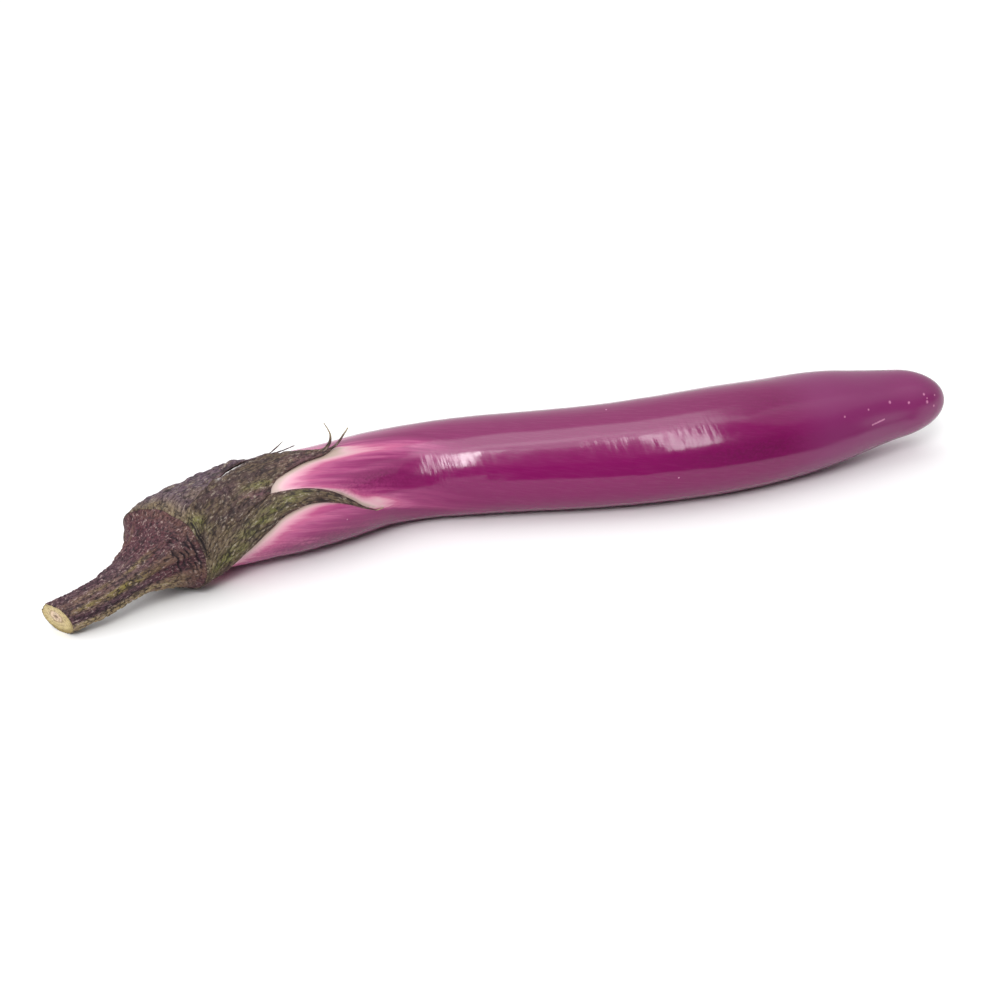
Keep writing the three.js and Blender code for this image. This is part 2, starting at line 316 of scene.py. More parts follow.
def colour_scale(tree, value, stops):
    """Colours laid out along a value from 0 to 1."""
    node = tree.nodes.new("ShaderNodeValToRGB")
    ramp = node.color_ramp
    for place, colour in stops[1:-1]:
        ramp.elements.new(place).color = opaque(colour)
    for element, (place, colour) in ((0, stops[0]), (-1, stops[-1])):
        ramp.elements[element].position = place
        ramp.elements[element].color = opaque(colour)
    tree.links.new(value, node.inputs[0])
    return node.outputs[0]


def new_finish(name, **shader_values):
    """A material and its shader, with the values that are the same all over."""
    material = bpy.data.materials.new(name)
    material.use_nodes = True
    shader = material.node_tree.nodes["Principled BSDF"]
    for socket, value in shader_values.items():
        shader.inputs[socket.replace("_", " ")].default_value = value
    return material, material.node_tree, shader


# %% [markdown]
# ## Room
# The eggplant lies on a white table in a white studio. Its skin is glossy, so half of what it
# shows is what it mirrors, and the room is planned by direction: white behind and above, dim
# on the near side, where it leaves a deep band of plain skin colour, and a little dimmer to
# the right. A picture of a room could light the scene too, but a few nodes are easier to
# change.

# %% Table
TABLE_HALF = 9.0
TABLE_WHITE = (0.93, 0.93, 0.93)
CORNERS = [(-1, -1), (1, -1), (1, 1), (-1, 1)]



def matt_surface(name, look_name, points, faces, colour, roughness):
    """A plain surface without shine, which isn't part of the eggplant."""
    mesh = bpy.data.meshes.new(name)
    mesh.from_pydata(points, [], faces)
    finish, _, _ = new_finish(
        look_name, Base_Color=opaque(colour), Roughness=roughness, Specular_IOR_Level=0.0
    )
    mesh.materials.append(finish)
    return new_object(name, mesh)


table_points = [(x * TABLE_HALF, y * TABLE_HALF, 0) for x, y in CORNERS]
table = matt_surface("table", "white_table", table_points, [(0, 1, 2, 3)], TABLE_WHITE, 0.9)
table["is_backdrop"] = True

# %% Light from the room
ROOM_LIGHT = 1.15
DIM_SIDE = direction(math.radians(12), 0)
DIM_FACING = (0.15, 0.75)
DIM_HEIGHTS = (0.9, 0.6)
DIMMED_TO = 0.15
OVERHEAD_LIGHT = 0.3
OVERHEAD_HEIGHTS = (0.7, 0.97)
RIGHT_SIDE = 0.62
RIGHT_FACING = (0.2, 0.7)
BACKDROP = 1.1

world = bpy.data.worlds.new("studio")
bpy.context.scene.world = world
world.use_nodes = True
room = world.node_tree
room.nodes.clear()
heading = add(room, "TexCoord", {}, output=0)
rightward = add(room, "SeparateXYZ", {0: heading}, output=0)
height = add(room, "SeparateXYZ", {0: heading}, output=2)
facing = add(room, "VectorMath", {0: heading, 1: DIM_SIDE}, output=1, operation="DOT_PRODUCT")
dimming = times(room, between(room, facing, *DIM_FACING), between(room, height, *DIM_HEIGHTS))
overhead = between(room, height, *OVERHEAD_HEIGHTS, 0.0, OVERHEAD_LIGHT)
strength = calculate(room, "ADD", overhead, ROOM_LIGHT)
strength = times(room, strength, between(room, dimming, 0.0, 1.0, 1.0, DIMMED_TO))
strength = times(room, strength, between(room, rightward, *RIGHT_FACING, 1.0, RIGHT_SIDE))
seen = add(room, "LightPath", {})
strength = add(room, "Mix", {0: seen, 2: strength, 3: BACKDROP}, data_type="FLOAT")
light = add(room, "Background", {"Color": (1, 1, 1, 1), "Strength": strength})
room.links.new(light, room.nodes.new("ShaderNodeOutputWorld").inputs[0])

# %% [markdown]
# ## Lamps and what they leave on the skin
# In a studio a flash, a reflector and a black card each have one task, and here each light is
# either mirrored or lights matt surfaces, so that the highlights and the shading can be set
# one by one. Two tall softboxes above the near side leave the two long highlights, and the
# left one leans a little, so that its highlight slants. Dimmer panels beside and above them
# leave a pale veil over the highlights. The one overhead is three sheets on top of each other,
# which gives the veil a soft edge. The front lamp only lights: it gives the calyx its relief.
# The black card stands low in front of the fruit, and only the skin mirrors it.

# %% Lamps
LAMP_DISTANCE = 2.2
# Azimuth and elevation in degrees, width and height in metres, glow, and what it is for.
LAMPS = {
    "left_softbox": (-28.5, 39, 0.46, 1.2, 24.0, "gloss"),
    "right_softbox": (13, 37, 0.6, 1.5, 11.0, "gloss"),
    "side_panel": (-9, 59, 0.9, 0.7, 1.8, "gloss"),
    "overhead_panel": (-5, 77, 1.95, 1.2, 2.7, "gloss"),
    "overhead_border": (-5, 77, 2.15, 1.35, 1.1, "gloss"),
    "overhead_fade": (-5, 77, 2.35, 1.5, 0.7, "gloss"),
    "upper_right_panel": (33, 56, 0.9, 0.5, 1.2, "gloss"),
    "right_reflector": (58, 36, 1.1, 1.1, 0.7, "gloss"),
    "front_lamp": (-35, 40, 0.8, 0.8, 14.0, "light"),
}
LAMP_LEANS = {"left_softbox": -4}
for name, (azimuth, elevation, wide, tall, glow, task) in LAMPS.items():
    lamp = bpy.data.lights.new(name, "AREA")
    lamp.shape = "RECTANGLE"
    lamp.size, lamp.size_y = wide, tall
    lamp.energy = glow * math.pi * wide * tall
    holder = new_object(name, lamp)
    to_lamp = direction(math.radians(azimuth), math.radians(elevation))
    aim(holder, to_lamp, LAMP_DISTANCE, LAMP_LEANS.get(name, 0))
    holder.visible_camera = False
    holder.visible_diffuse = task == "light"
    holder.visible_glossy = task == "gloss"
print("lamps:", sorted(LAMPS))

# %% Black card
CARD_NEAR = [(-0.022, -0.064), (0.055, -0.062), (0.110, -0.054), (0.180, -0.046)]
CARD_LINE = [(-0.040, -0.118), (0.060, -0.125), (0.140, -0.120), (0.215, -0.095)]
CARD_LIFT = 0.001
CARD_HEIGHT = 0.045
CARD_BLACK = (0.01, 0.002, 0.006)

card_rows = [(CARD_NEAR, CARD_LIFT), (CARD_LINE, CARD_LIFT), (CARD_LINE, CARD_HEIGHT)]
card_points = [(x, y, z) for line, z in card_rows for x, y in line]
card_faces = [(k, k + 1, k + 5, k + 4) for k in (0, 1, 2, 4, 5, 6)]
card = matt_surface("black_card", "black_card", card_points, card_faces, CARD_BLACK, 1.0)
for sight in ("camera", "diffuse", "transmission", "volume_scatter", "shadow"):
    setattr(card, "visible_" + sight, False)
card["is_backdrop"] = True
print(f"black card {CARD_HEIGHT * 1000:.0f} mm high")

# %% [markdown]
# ## From arrays to a piece
# Each piece is a mesh made from arrays of points and faces. What a finish needs to know about
# a place, such as how far it is from the calyx or how deep in a crease, goes along as
# attributes of the points, which material nodes can read by name.

# %% Make a piece
def make_piece(name, points, faces, attributes, finish, node):
    mesh = bpy.data.meshes.new(name)
    mesh.from_pydata((points * MM).tolist(), [], faces)
    mesh.polygons.foreach_set("use_smooth", [True] * len(mesh.polygons))
    for label, values in attributes.items():
        kind, field = ("FLOAT_VECTOR", "vector") if values.ndim == 2 else ("FLOAT", "value")
        data = mesh.attributes.new(label, kind, "POINT").data
        data.foreach_set(field, values.astype(np.float32).ravel())
    mesh.materials.append(finish)
    piece = new_object(name, mesh)
    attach(piece, "root")
    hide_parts(node)
    triangles = sum(len(face) - 2 for face in faces)
    print(f"{name}: {len(points)} points, {triangles} triangles")


def attribute(tree, label, output="Fac"):
    node = tree.nodes.new("ShaderNodeAttribute")
    node.attribute_name = label
    return node.outputs[output]


def tube_faces(rings, count, first=0):
    """Quads between rings of points that follow one another in the array."""
    faces = []
    for ring in range(rings - 1):
        for k in range(count):
            a, b = first + ring * count + k, first + ring * count + (k + 1) % count
            faces.append((a, b, b + count, a + count))
    return faces


def close_ends(faces, count, first_pole, first_ring, last_ring, last_pole):
    """Adds fans of triangles from the last rings of a tube to its two poles."""
    for k in range(count):
        after = (k + 1) % count
        faces.append((first_pole, first_ring + after, first_ring + k))
        faces.append((last_pole, last_ring + k, last_ring + after))


def rings_of(stations, angles):
    """The s and the phi of every point of a tube."""
    return [grid.ravel() for grid in np.meshgrid(stations, angles, indexing="ij")]


def patches(s, phi, plans):
    """Soft oval patches, each (s, phi, reach along s, spread in degrees, strength)."""
    share = np.zeros_like(s)
    for centre_s, centre_phi, reach, spread, strength_here in plans:
        turn = (phi - centre_phi + 180) % 360 - 180
        away = ((s - centre_s) / reach) ** 2 + (turn / spread) ** 2
        share = np.maximum(share, strength_here * np.exp(-away))
    return share


# %% [markdown]
# ## The ring
# Where the stem meets the calyx it swells into a ring, a soft pentagon that leans over and
# isn't quite even. Stem and calyx share it, so it is worked out once. Its skin is wrinkled
# across, in creases that run alongside the ring and fade in and out.

# %% Ring measurements
RING_S = 51
RING_RADIUS = 17.4
FLARE_START = 25
LEAN = {"by": 2, "phi": 130, "ends": 72}
RING_SHAPE = [
    (-50, 0.94), (-15, 0.95), (20, 1), (55, 1.02), (90, 0.99),
    (130, 1.04), (165, 0.88), (195, 0.86), (230, 0.9), (270, 0.79),
]
RING_SHAPE_ENDS = 85
WANDER = Wave((5, 5, 5), seed=34, depth=0.9)
WANDER_REACH = {"s": 5, "phi": 60, "far_side": 0.25}
WRINKLES = {"places": [44.2, 45.9, 47.3, 48.6, 49.8, 52.6, 54.2], "width": 0.42, "depth": 0.75}
WRINKLE_SWAY = Wave((9, 3.5, 3.5), seed=41, depth=1.0)
WRINKLE_BREAKS = [Wave((5, 5, 5), 50 + k, 1.0) for k in range(len(WRINKLES["places"]))]
WRINKLE_SHOWS = (-0.42, 0.05)
WRINKLE_SIDE = {"phi": 75, "spread": 38, "least": 0.35}
RING_GROOVE = {"at": 52.8, "width": 0.7, "depth": 1.1, "from": (36, 50), "to": (82, 96)}
ring_shape = around(RING_SHAPE)


def ring_shift(s, phi):
    """How far a point slides along the line, as the ring leans and wanders."""
    share = plateau((FLARE_START, RING_S), (RING_S, LEAN["ends"]), s)
    lean = LEAN["by"] * share * np.cos(np.radians(phi - LEAN["phi"]))
    close = bell(s, RING_S, WANDER_REACH["s"])
    near_side = 0.5 + 0.5 * np.cos(np.radians(phi - WANDER_REACH["phi"]))
    close *= mix(WANDER_REACH["far_side"], 1, near_side)
    circle = straightened(np.zeros_like(phi), phi, RING_RADIUS)
    return lean + WANDER.depth * close * ripple(circle, WANDER)


def corner(s, phi):
    """The ring's pentagon, which fades out both ways along the centre line."""
    share = plateau((FLARE_START, RING_S), (RING_S, RING_SHAPE_ENDS), s)
    return mix(1, ring_shape(phi), share)


def wrinkles_across(s, phi):
    """How deep a point lies in the creases beside the ring, from 0 to about 1."""
    depth = np.zeros_like(s)
    place = straightened(s, phi, RING_RADIUS)
    swayed = s + WRINKLE_SWAY.depth * ripple(place, WRINKLE_SWAY)
    for at, breaks in zip(WRINKLES["places"], WRINKLE_BREAKS):
        present = smooth(*WRINKLE_SHOWS, ripple(place * (0, 1, 1), breaks))
        depth = np.maximum(depth, present * bell(swayed, at, WRINKLES["width"]))
    strongest = bell(phi, WRINKLE_SIDE["phi"], WRINKLE_SIDE["spread"])
    strongest = mix(WRINKLE_SIDE["least"], 1, strongest)
    groove = bell(swayed, RING_GROOVE["at"], RING_GROOVE["width"])
    groove *= plateau(RING_GROOVE["from"], RING_GROOVE["to"], phi)
    return np.maximum(depth * strongest, RING_GROOVE["depth"] * groove)


# %% [markdown]
# ## The calyx, laid out flat
# The calyx clasps the head of the fruit with five pointed lobes. Two of them fork, so there
# are seven tips, some of them as thin as hairs. It is one sheet of tissue, so it is built as
# one sheet of quads: neighbouring tips share their points from the ring up to the notch
# between them, and from there each has free edges of its own. Rows and columns are 0.4 mm
# apart, close enough to carry grains. The sheet comes before the fruit because it also decides
# where the fruit's skin stays pale.

# %% Calyx measurements
# Each parting runs from an angle on the ring to a notch, and some lie in a groove.
PARTINGS = [
    (165, (62, 158), 1), (97, (91.3, 46), 1), (70, (115, 11), 0), (40, (76, 6), 0),
    (5, (98, -42), 0), (-36, (91, -84), 1), (-112, (75, -142), 1),
]
# The left and right free edges of each tip, from its notches on, as (s, phi, height off the
# fruit). Where no height is given, it is 0.
LOBES = {
    "under": ([(84, 210), (97, 199.5)], [(68, 175), (82, 186), (97, 196)]),
    "horn": (
        [
            (71.5, 126), (82, 100), (91.5, 79), (102.5, 69), (111.5, 75), (118.5, 83.5),
            (125, 93.6), (127.5, 97.5), (130.5, 97.2),
        ],
        [
            (96.6, 47.4), (102.5, 50.8), (109.5, 59.4), (117.3, 75), (124.5, 91),
            (127.6, 96.4), (130.6, 96.4),
        ],
    ),
    "near_fork": (
        [
            (92.9, 38), (95.4, 31), (99.2, 26), (103.8, 21), (108.8, 18), (114, 15.8),
            (119.5, 9.2, 0.1), (122.5, 6.9, 0.8), (125.3, 6, 3.9), (127.2, 5.4, 6.2),
        ],
        [(119, 6.5, 0.2), (122.2, 4.2, 0.8), (125.3, 4.4, 3.9), (127.2, 4.8, 6.2)],
    ),
    "far_fork": (
        [
            (117.5, 7.9, 0.3), (119.3, 6.7, 2.2), (119.2, 6.1, 5.1), (117.8, 5.7, 7.7),
            (116, 5.3, 10.2),
        ],
        [
            (82.4, -6, 0.3), (89.2, -12, 0.4), (94.5, -18, 0.2), (100, -17), (106.6, -9),
            (111.7, -0.5), (116.5, 3.4, 0.1), (119, 3.5, 2.2), (119.2, 3.9, 5.1),
            (117.8, 4.3, 7.7), (116, 4.8, 10.2),
        ],
    ),
    "back_near_fork": (
        [(82, -8.5, 0.5), (88.5, -16, 0.9), (94, -24, 0.6), (105, -27.8, 0.3), (111.8, -29.8, 1)],
        [(103, -34.6, 0.1), (107, -32.2, 0.3), (111.8, -30.6, 1)],
    ),
    "back_far_fork": (
        [(102, -41.4, 0.7), (106, -43.3, 2.1), (111, -44.7, 4.6)],
        [(95, -68), (99, -52, 0.5), (103, -47.4, 1.3), (106.5, -46.3, 2.5), (111, -45.5, 4.6)],
    ),
    "far": (
        [(99, -102), (106, -119), (113, -133.5, 0.4)],
        [(85, -145), (97, -143), (107, -138), (113, -136, 0.4)],
    ),
}
ARC_PER_DEGREE = 0.3
GAP = 0.3
RING_GAP = 0.05
SPACING = 0.4
EDGE_STEPS = 60
FEWEST_COLUMNS = 12
LOBE_ARCH = 0.4
ARCH_WIDTH = 12
GROOVE_DEPTH = 0.25
GROOVE_START = 8


# %% Lay out the sheet
def with_height(keys):
    return [(key[0], key[1] * ARC_PER_DEGREE, key[2] if len(key) > 2 else 0.0) for key in keys]


def edge_line(keys, count):
    """Evenly spaced (s, phi, height) rows on a smooth edge through the keys."""
    line = smooth_line(with_height(keys), EDGE_STEPS)
    at = distances_along(line)
    wanted = np.linspace(0, at[-1], count + 1)
    spaced = np.stack([np.interp(wanted, at, line[:, axis]) for axis in range(3)], -1)
    return spaced / (1, ARC_PER_DEGREE, 1)


def edge_length(keys):
    return distances_along(np.array(with_height(keys), float))[-1]


def lobe_sides(rows_out, seam_pair, shifts, free_edges):
    """Both sides of a lobe, row by row, as (s, phi, height, groove, shared point or None)."""
    shared = []
    for seam, shift in zip(seam_pair, shifts):
        known = [(*rows_out[i][:4], i) for i in seam]
        shared.append([(s, phi + shift, *others) for s, phi, *others in known])
    keys = [[known[-1][:3], *free] for known, free in zip(shared, free_edges)]
    free_rows = sum(edge_length(k) for k in keys) / SPACING
    rows = round((len(shared[0]) + len(shared[1]) + free_rows) / 2)
    loose = [edge_line(edge, rows - len(known) + 1)[1:] for known, edge in zip(shared, keys)]
    return [k + [(*place, 0.0, None) for place in free] for k, free in zip(shared, loose)]


def calyx_sheet():
    """Rows of (s, phi, height, groove, lobe number), and quads."""
    rows_out, faces, seams = [], [], []
    for number, (ring_phi, notch, grooved) in enumerate(PARTINGS):
        keys = [(RING_S + RING_GAP, ring_phi), notch]
        line = edge_line(keys, round(edge_length(keys) / SPACING))
        groove = grooved * smooth(0, GROOVE_START, np.arange(len(line)) * SPACING)
        seams.append([len(rows_out) + k for k in range(len(line))])
        rows_out += [(*place, g, number) for place, g in zip(line, groove)]
    for number, free_edges in enumerate(LOBES.values()):
        shifts = (0 if number else 360, 0)
        seam_pair = (seams[number - 1], seams[number])
        sides = lobe_sides(rows_out, seam_pair, shifts, free_edges)
        width = abs(sides[0][0][1] - sides[1][0][1]) * ARC_PER_DEGREE
        columns = max(round(width / SPACING), FEWEST_COLUMNS)
        grid = []
        for row, (left, right) in enumerate(zip(*sides)):
            width = abs(left[1] - right[1]) * ARC_PER_DEGREE
            risen = smooth(0, ARCH_WIDTH, width) * smooth(0, GROOVE_START, row * SPACING)
            line = []
            for column in range(columns + 1):
                shared = (left if column == 0 else right)[4]
                if column in (0, columns) and shared is not None:
                    line.append(shared)
                    continue
                share = column / columns
                bulge = 4 * share * (1 - share)
                s, phi, height, groove = [mix(left[k], right[k], share) for k in range(4)]
                height += LOBE_ARCH * bulge * risen
                line.append(len(rows_out))
                rows_out.append((s, phi, height, groove * (1 - bulge), number))
            grid.append(line)
        for line, after in zip(grid, grid[1:]):
            for k in range(columns):
                faces.append((line[k], after[k], after[k + 1], line[k + 1]))
    return np.array(rows_out, float), faces


sheet, sheet_faces = calyx_sheet()
sheet_s, sheet_phi, sheet_height, sheet_groove, sheet_lobe = sheet.T
print(f"calyx sheet: {len(sheet)} points, {len(sheet_faces)} quads")

# %% [markdown]
# ## The fruit's body
# The fruit is a tube whose radius changes slowly along it, domed under the calyx and long and
# blunt at the blossom end. Its skin isn't perfectly even: it swells and sinks by a tenth of a
# millimetre, and in the places where the highlights lie very fine ripples run round it. They
# are modelled, because they are what breaks the highlights into short streaks.

# %% Fruit measurements
FRUIT_RADIUS = [
    (47, 12.6), (65, 15), (80, 16.4), (93, 17.1), (105, 17.8), (129, 17.6), (145, 17.3),
    (173, 17.9), (207, 18.5), (247, 19.6), (265, 20.1), (281, 20), (296, 19.5), (310, 18.8),
    (322, 17.6), (334, 15.6), (346, 13.9), (358, 14), (370, 14.2),
]
HEAD_ROUNDING = 10
HEAD_END = 57
HEAD_POWER = 2.4
HEAD_START = HEAD_END - HEAD_ROUNDING
TIP_LENGTH = 30
TIP_POWER = 2.3
TIP_START = LENGTH - TIP_LENGTH

fruit_radius = through(FRUIT_RADIUS)


def skin_radius(s):
    head = np.clip((HEAD_END - s) / HEAD_ROUNDING, 0, 1)
    tip = np.clip((s - TIP_START) / TIP_LENGTH, 0, 1)
    return fruit_radius(s) * np.sqrt((1 - head**HEAD_POWER) * (1 - tip**TIP_POWER))


# %% Fruit mesh
SKIN_SEGMENTS = 120
HEAD_RINGS = 12
BODY_RINGS = 640
TIP_RINGS = 90
SWELL = Wave((24, 11, 11), seed=1, depth=0.16)
DIMPLES = Wave((6, 5, 5), seed=2, depth=0.04)
RIPPLES = Wave((1.7, 6, 6), seed=3, depth=0.07)
RIPPLE_SLANT = 0.3
RIPPLED = [(165, 63, 12, 22, 1.6), (224, 53, 10, 15, 0.7), (248, 52, 15, 20, 1.0)]
RIPPLES_FADE = Wave((9, 7, 7), seed=8, depth=0.4)
FADE_SPAN = (-0.25, 0.25)
CALM_RADIUS = 4
SCAR = {"radius": 1.7, "depth": 0.7, "pleats": 9, "pleat_depth": 0.12}
SKIN_INSET = 0.06

quarter = math.pi / 2
head_share = np.arange(1, HEAD_RINGS + 1) / (HEAD_RINGS + 1)
tip_share = np.arange(1, TIP_RINGS + 1) / (TIP_RINGS + 2)
head_stations = HEAD_END - HEAD_ROUNDING * np.cos(quarter * head_share)
tip_stations = TIP_START + TIP_LENGTH * np.sin(quarter * tip_share)
stations = np.r_[head_stations, np.linspace(HEAD_END, TIP_START, BODY_RINGS), tip_stations]
angles = np.arange(SKIN_SEGMENTS) * 360 / SKIN_SEGMENTS
skin_s, skin_phi = rings_of(stations, angles)
skin_r = skin_radius(skin_s)
skin_place = straightened(skin_s, skin_phi, skin_r)
skin_slant = skin_place + skin_place[:, 1:2] * (RIPPLE_SLANT, 0, 0)
skin_relief = sum(wave.depth * ripple(skin_place, wave) for wave in (SWELL, DIMPLES))
rippled = patches(skin_s, skin_phi, RIPPLED)
fading = smooth(*FADE_SPAN, ripple(skin_place, RIPPLES_FADE))
rippled *= 1 - RIPPLES_FADE.depth + RIPPLES_FADE.depth * fading
skin_relief += RIPPLES.depth * rippled * ripple(skin_slant, RIPPLES)
skin_relief *= smooth(0, CALM_RADIUS, skin_r)
skin_points = surface_point(skin_s, skin_phi, skin_r + skin_relief - SKIN_INSET)
pleats = 1 + SCAR["pleat_depth"] * np.cos(np.radians(skin_phi) * SCAR["pleats"])
sunk = SCAR["depth"] * bell(skin_r, 0, SCAR["radius"] * pleats) * (skin_s > TIP_START)
skin_points -= sunk[:, None] * directions(skin_s)[0]

# %% Close the fruit's ends
head_point, _ = on_axis(HEAD_START)
tip_point, tip_along = on_axis(LENGTH)
poles = [head_point, tip_point - SCAR["depth"] * tip_along]
skin_points = np.concatenate([skin_points, poles])
last = len(skin_points) - 1
skin_faces = tube_faces(len(stations), SKIN_SEGMENTS)
close_ends(skin_faces, SKIN_SEGMENTS, last - 1, 0, last - 1 - SKIN_SEGMENTS, last)

# %% [markdown]
# ## Where the skin is pale
# The skin colours where light falls on it. It slides out from under the calyx as the fruit
# grows, so it is cream right beside the calyx, pink a little further along and purple where it
# has been out the longest. This is worked out on a flat map: for each place, how many
# millimetres further back the calyx last covered the same growth line. The lines wind slowly
# round the fruit, as it twists while it grows.

# %% Growth map
MAP_STEP = 0.5
MAP_START = 40
MAP_END = 190
MAP_TURNS = 360
ALWAYS_COVERED = 60
CLOSE_TO_SKIN = 1.2
TWIST = 0.7
BLUR_DEGREES = 1.6

map_s = np.arange(MAP_START, MAP_END, MAP_STEP)
covered = np.zeros((len(map_s), MAP_TURNS), bool)
close = sheet_height < CLOSE_TO_SKIN
rows = np.clip(((sheet_s[close] - MAP_START) / MAP_STEP).round().astype(int), 0, len(map_s) - 1)
untwisted = sheet_phi[close] - TWIST * (sheet_s[close] - MAP_START)
covered[rows, untwisted.round().astype(int) % MAP_TURNS] = True
covered[map_s < ALWAYS_COVERED] = True
for _ in range(2):
    covered |= np.roll(covered, 1, 1) & np.roll(covered, -1, 1)
last_cover = np.maximum.accumulate(np.where(covered, map_s[:, None], 0), axis=0)
grown = np.clip(map_s[:, None] - last_cover, 0, None)
offsets = np.arange(-5, 6)
weights = np.exp(-0.5 * (offsets / BLUR_DEGREES) ** 2)
grown = sum(w * np.roll(grown, o, 1) for w, o in zip(weights, offsets)) / weights.sum()


def growth_at(s, phi):
    """Millimetres of growth since the skin left the calyx."""
    row = np.clip((s - MAP_START) / MAP_STEP, 0, len(map_s) - 1.001)
    column = (phi - TWIST * (np.minimum(s, map_s[-1]) - MAP_START)) % MAP_TURNS
    i, j = row.astype(int), column.astype(int) % MAP_TURNS
    u, v = row - i, column - np.floor(column)
    after = (j + 1) % MAP_TURNS
    near = mix(grown[i, j], grown[i, after], v)
    far = mix(grown[i + 1, j], grown[i + 1, after], v)
    return mix(near, far, u) + np.clip(s - map_s[-1], 0, None)


# %% Trails, and patches of painted shade
# Each trail is a line of (s, phi), how wide it is in degrees, and where it fades out.
TRAILS = [
    ([(112, 13), (123, 20), (135, 26), (150, 31), (168, 41)], 8, (140, 185)),
    ([(126, 82), (130, 88), (140, 97), (150, 105), (168, 122)], 6, (135, 175)),
]
TRAIL_STRENGTH = 0.62
TRAIL_BEGINS = (-4, 3)
# Patches of painted shade: some where the skin lies in shade, some where it mirrors little light.
PAINTED_SHADE_PATCHES = [
    (128, 61, 17, 11, 0.7), (140, 72, 22, 7, 0.5), (112, 126, 28, 17, 1.0),
    (278, 82, 26, 15, 1.0), (288, 34, 22, 16, 0.4), (358, 60, 12, 16, 0.55),
]


def trails(s, phi):
    """Pale trails behind the tips that covered the skin for longest."""
    share = np.zeros_like(s)
    for line, width, fades in TRAILS:
        line_s, line_phi = np.array(line, float).T
        begins = [line_s[0] + shift for shift in TRAIL_BEGINS]
        across = bell(phi, np.interp(s, line_s, line_phi), width)
        share = np.maximum(share, across * plateau(begins, fades, s))
    return TRAIL_STRENGTH * share


skin_growth = growth_at(skin_s, skin_phi) * (1 - trails(skin_s, skin_phi))
skin_painted_shade = patches(skin_s, skin_phi, PAINTED_SHADE_PATCHES)
skin_grain = straightened(skin_s, skin_phi - TWIST * (skin_s - MAP_START), skin_r)
print(f"growth beyond the calyx: up to {skin_growth.max():.0f} mm")

# %% [markdown]
# ## Skin finish
# The skin is a thin waxy film over spongy flesh, so it is a plain glossy surface whose colour
# changes with growth, in streaks that follow the growth lines. The streaks come from noise
# that is drawn out along them. Some patches are darkened with mottled painted shade, where the
# skin lies in shade and where it mirrors little light. The blossom end is duller and has a few
# pale specks and one scratch, each set by its own place.

# %% Skin colours
GROWTH_SPAN = 70.0
SKIN_COLOURS = [
    (0.0, (0.44, 0.325, 0.275)),
    (0.022, (0.50, 0.37, 0.325)),
    (0.046, (0.66, 0.41, 0.45)),
    (0.079, (0.66, 0.285, 0.39)),
    (0.121, (0.50, 0.105, 0.24)),
    (0.186, (0.43, 0.088, 0.222)),
    (0.257, (0.36, 0.052, 0.178)),
    (0.357, (0.288, 0.030, 0.140)),
    (0.543, (0.236, 0.018, 0.112)),
    (0.786, (0.204, 0.010, 0.095)),
    (1.0, (0.185, 0.006, 0.086)),
]
STREAK_REACH = 26.0
FINE_STREAKS = (0.22, 0.02, 0.11)
skin_finish, skin, skin_shader = new_finish("eggplant_skin", IOR=1.43)
place = attribute(skin, "place", "Vector")
grain = attribute(skin, "grain", "Vector")
growth = attribute(skin, "growth")
streak = streaks(skin, grain, 0.045, 0.5, 3.0, 0.6)
fine_streak = streaks(skin, grain, 0.09, 1.7, 2.0, 0.6)
wander = between(skin, streak, 0.3, 0.7, -STREAK_REACH / 2, STREAK_REACH / 2)
wander = times(skin, wander, between(skin, growth, 2.0, 30.0))
age = calculate(skin, "DIVIDE", calculate(skin, "ADD", growth, wander), GROWTH_SPAN)
skin_colour = colour_scale(skin, age, SKIN_COLOURS)
fine = between(skin, fine_streak, 0.45, 0.68, 0.0, 0.35)
fine = times(skin, between(skin, growth, 4.0, 14.0), fine)
skin_colour = blend_colours(skin, fine, skin_colour, FINE_STREAKS)

# %% Mottled painted shade, and the colour of the blossom end
PAINTED_SHADE_COLOUR = (0.125, 0.008, 0.060)
END_STARTS, END_FULL = 285.0, 312.0
END_COLOUR = (0.200, 0.022, 0.116)
mottle = streaks(skin, place, 0.8, 1.1, 3.0, 0.7)
mottle = between(skin, mottle, 0.62, 0.38, 0.35, 1.0)
mottled_shade = times(skin, attribute(skin, "painted_shade"), mottle)
skin_colour = blend_colours(skin, mottled_shade, skin_colour, PAINTED_SHADE_COLOUR)
along = add(skin, "SeparateXYZ", {0: place})
blossom_end = between(skin, along, END_STARTS, END_FULL)
skin_colour = blend_colours(skin, times(skin, blossom_end, 0.8), skin_colour, END_COLOUR)

# %% Specks and the scratch
# Each speck is (s, phi, size).
SPECKS = [
    (315.5, 66, 0.55), (327.5, 64, 0.55), (339, 60, 0.85), (349, 66, 0.8), (357.2, 55, 0.7),
    (358.4, 63, 0.45), (358.2, 70, 0.85), (362.5, 58, 0.5), (361.5, 81, 0.6), (248, 100, 0.4),
    (227, 5, 0.45), (116, 99, 0.35),
]
SCRATCH = [(328.8 + 0.62 * k, 85.2 - 0.28 * k, 0.5) for k in range(11)]
SPECK_COLOUR = (0.62, 0.24, 0.42)
SPECK_CORE = 0.35
spotted = 0.0
for s, phi, size in SPECKS + SCRATCH:
    centre = straightened(np.array(s), np.array(phi), skin_radius(np.array(s)))
    away = add(skin, "VectorMath", {0: place, 1: tuple(centre)}, output=1, operation="DISTANCE")
    spot = between(skin, away, size, size * SPECK_CORE)
    spotted = calculate(skin, "MAXIMUM", spotted, spot)
speck_noise = between(skin, cloud(skin, place, 1.6), 0.3, 0.5, 0.35, 0.8)
skin_colour = blend_colours(skin, times(skin, spotted, speck_noise), skin_colour, SPECK_COLOUR)
skin.links.new(skin_colour, skin_shader.inputs["Base Color"])
print(f"{len(SPECKS)} specks and a scratch on the skin")

# %% [markdown]
# ## How sharply the skin mirrors
# A clean skin mirrors sharply, the blossom end is duller, and where the ripples run the wax is
# a little duller too, in streaks across the fruit. The roughness is held below one value all
# over: above it the renderer's noise filter takes a surface for matt, and would draw a hard
# line where one kind meets the other.

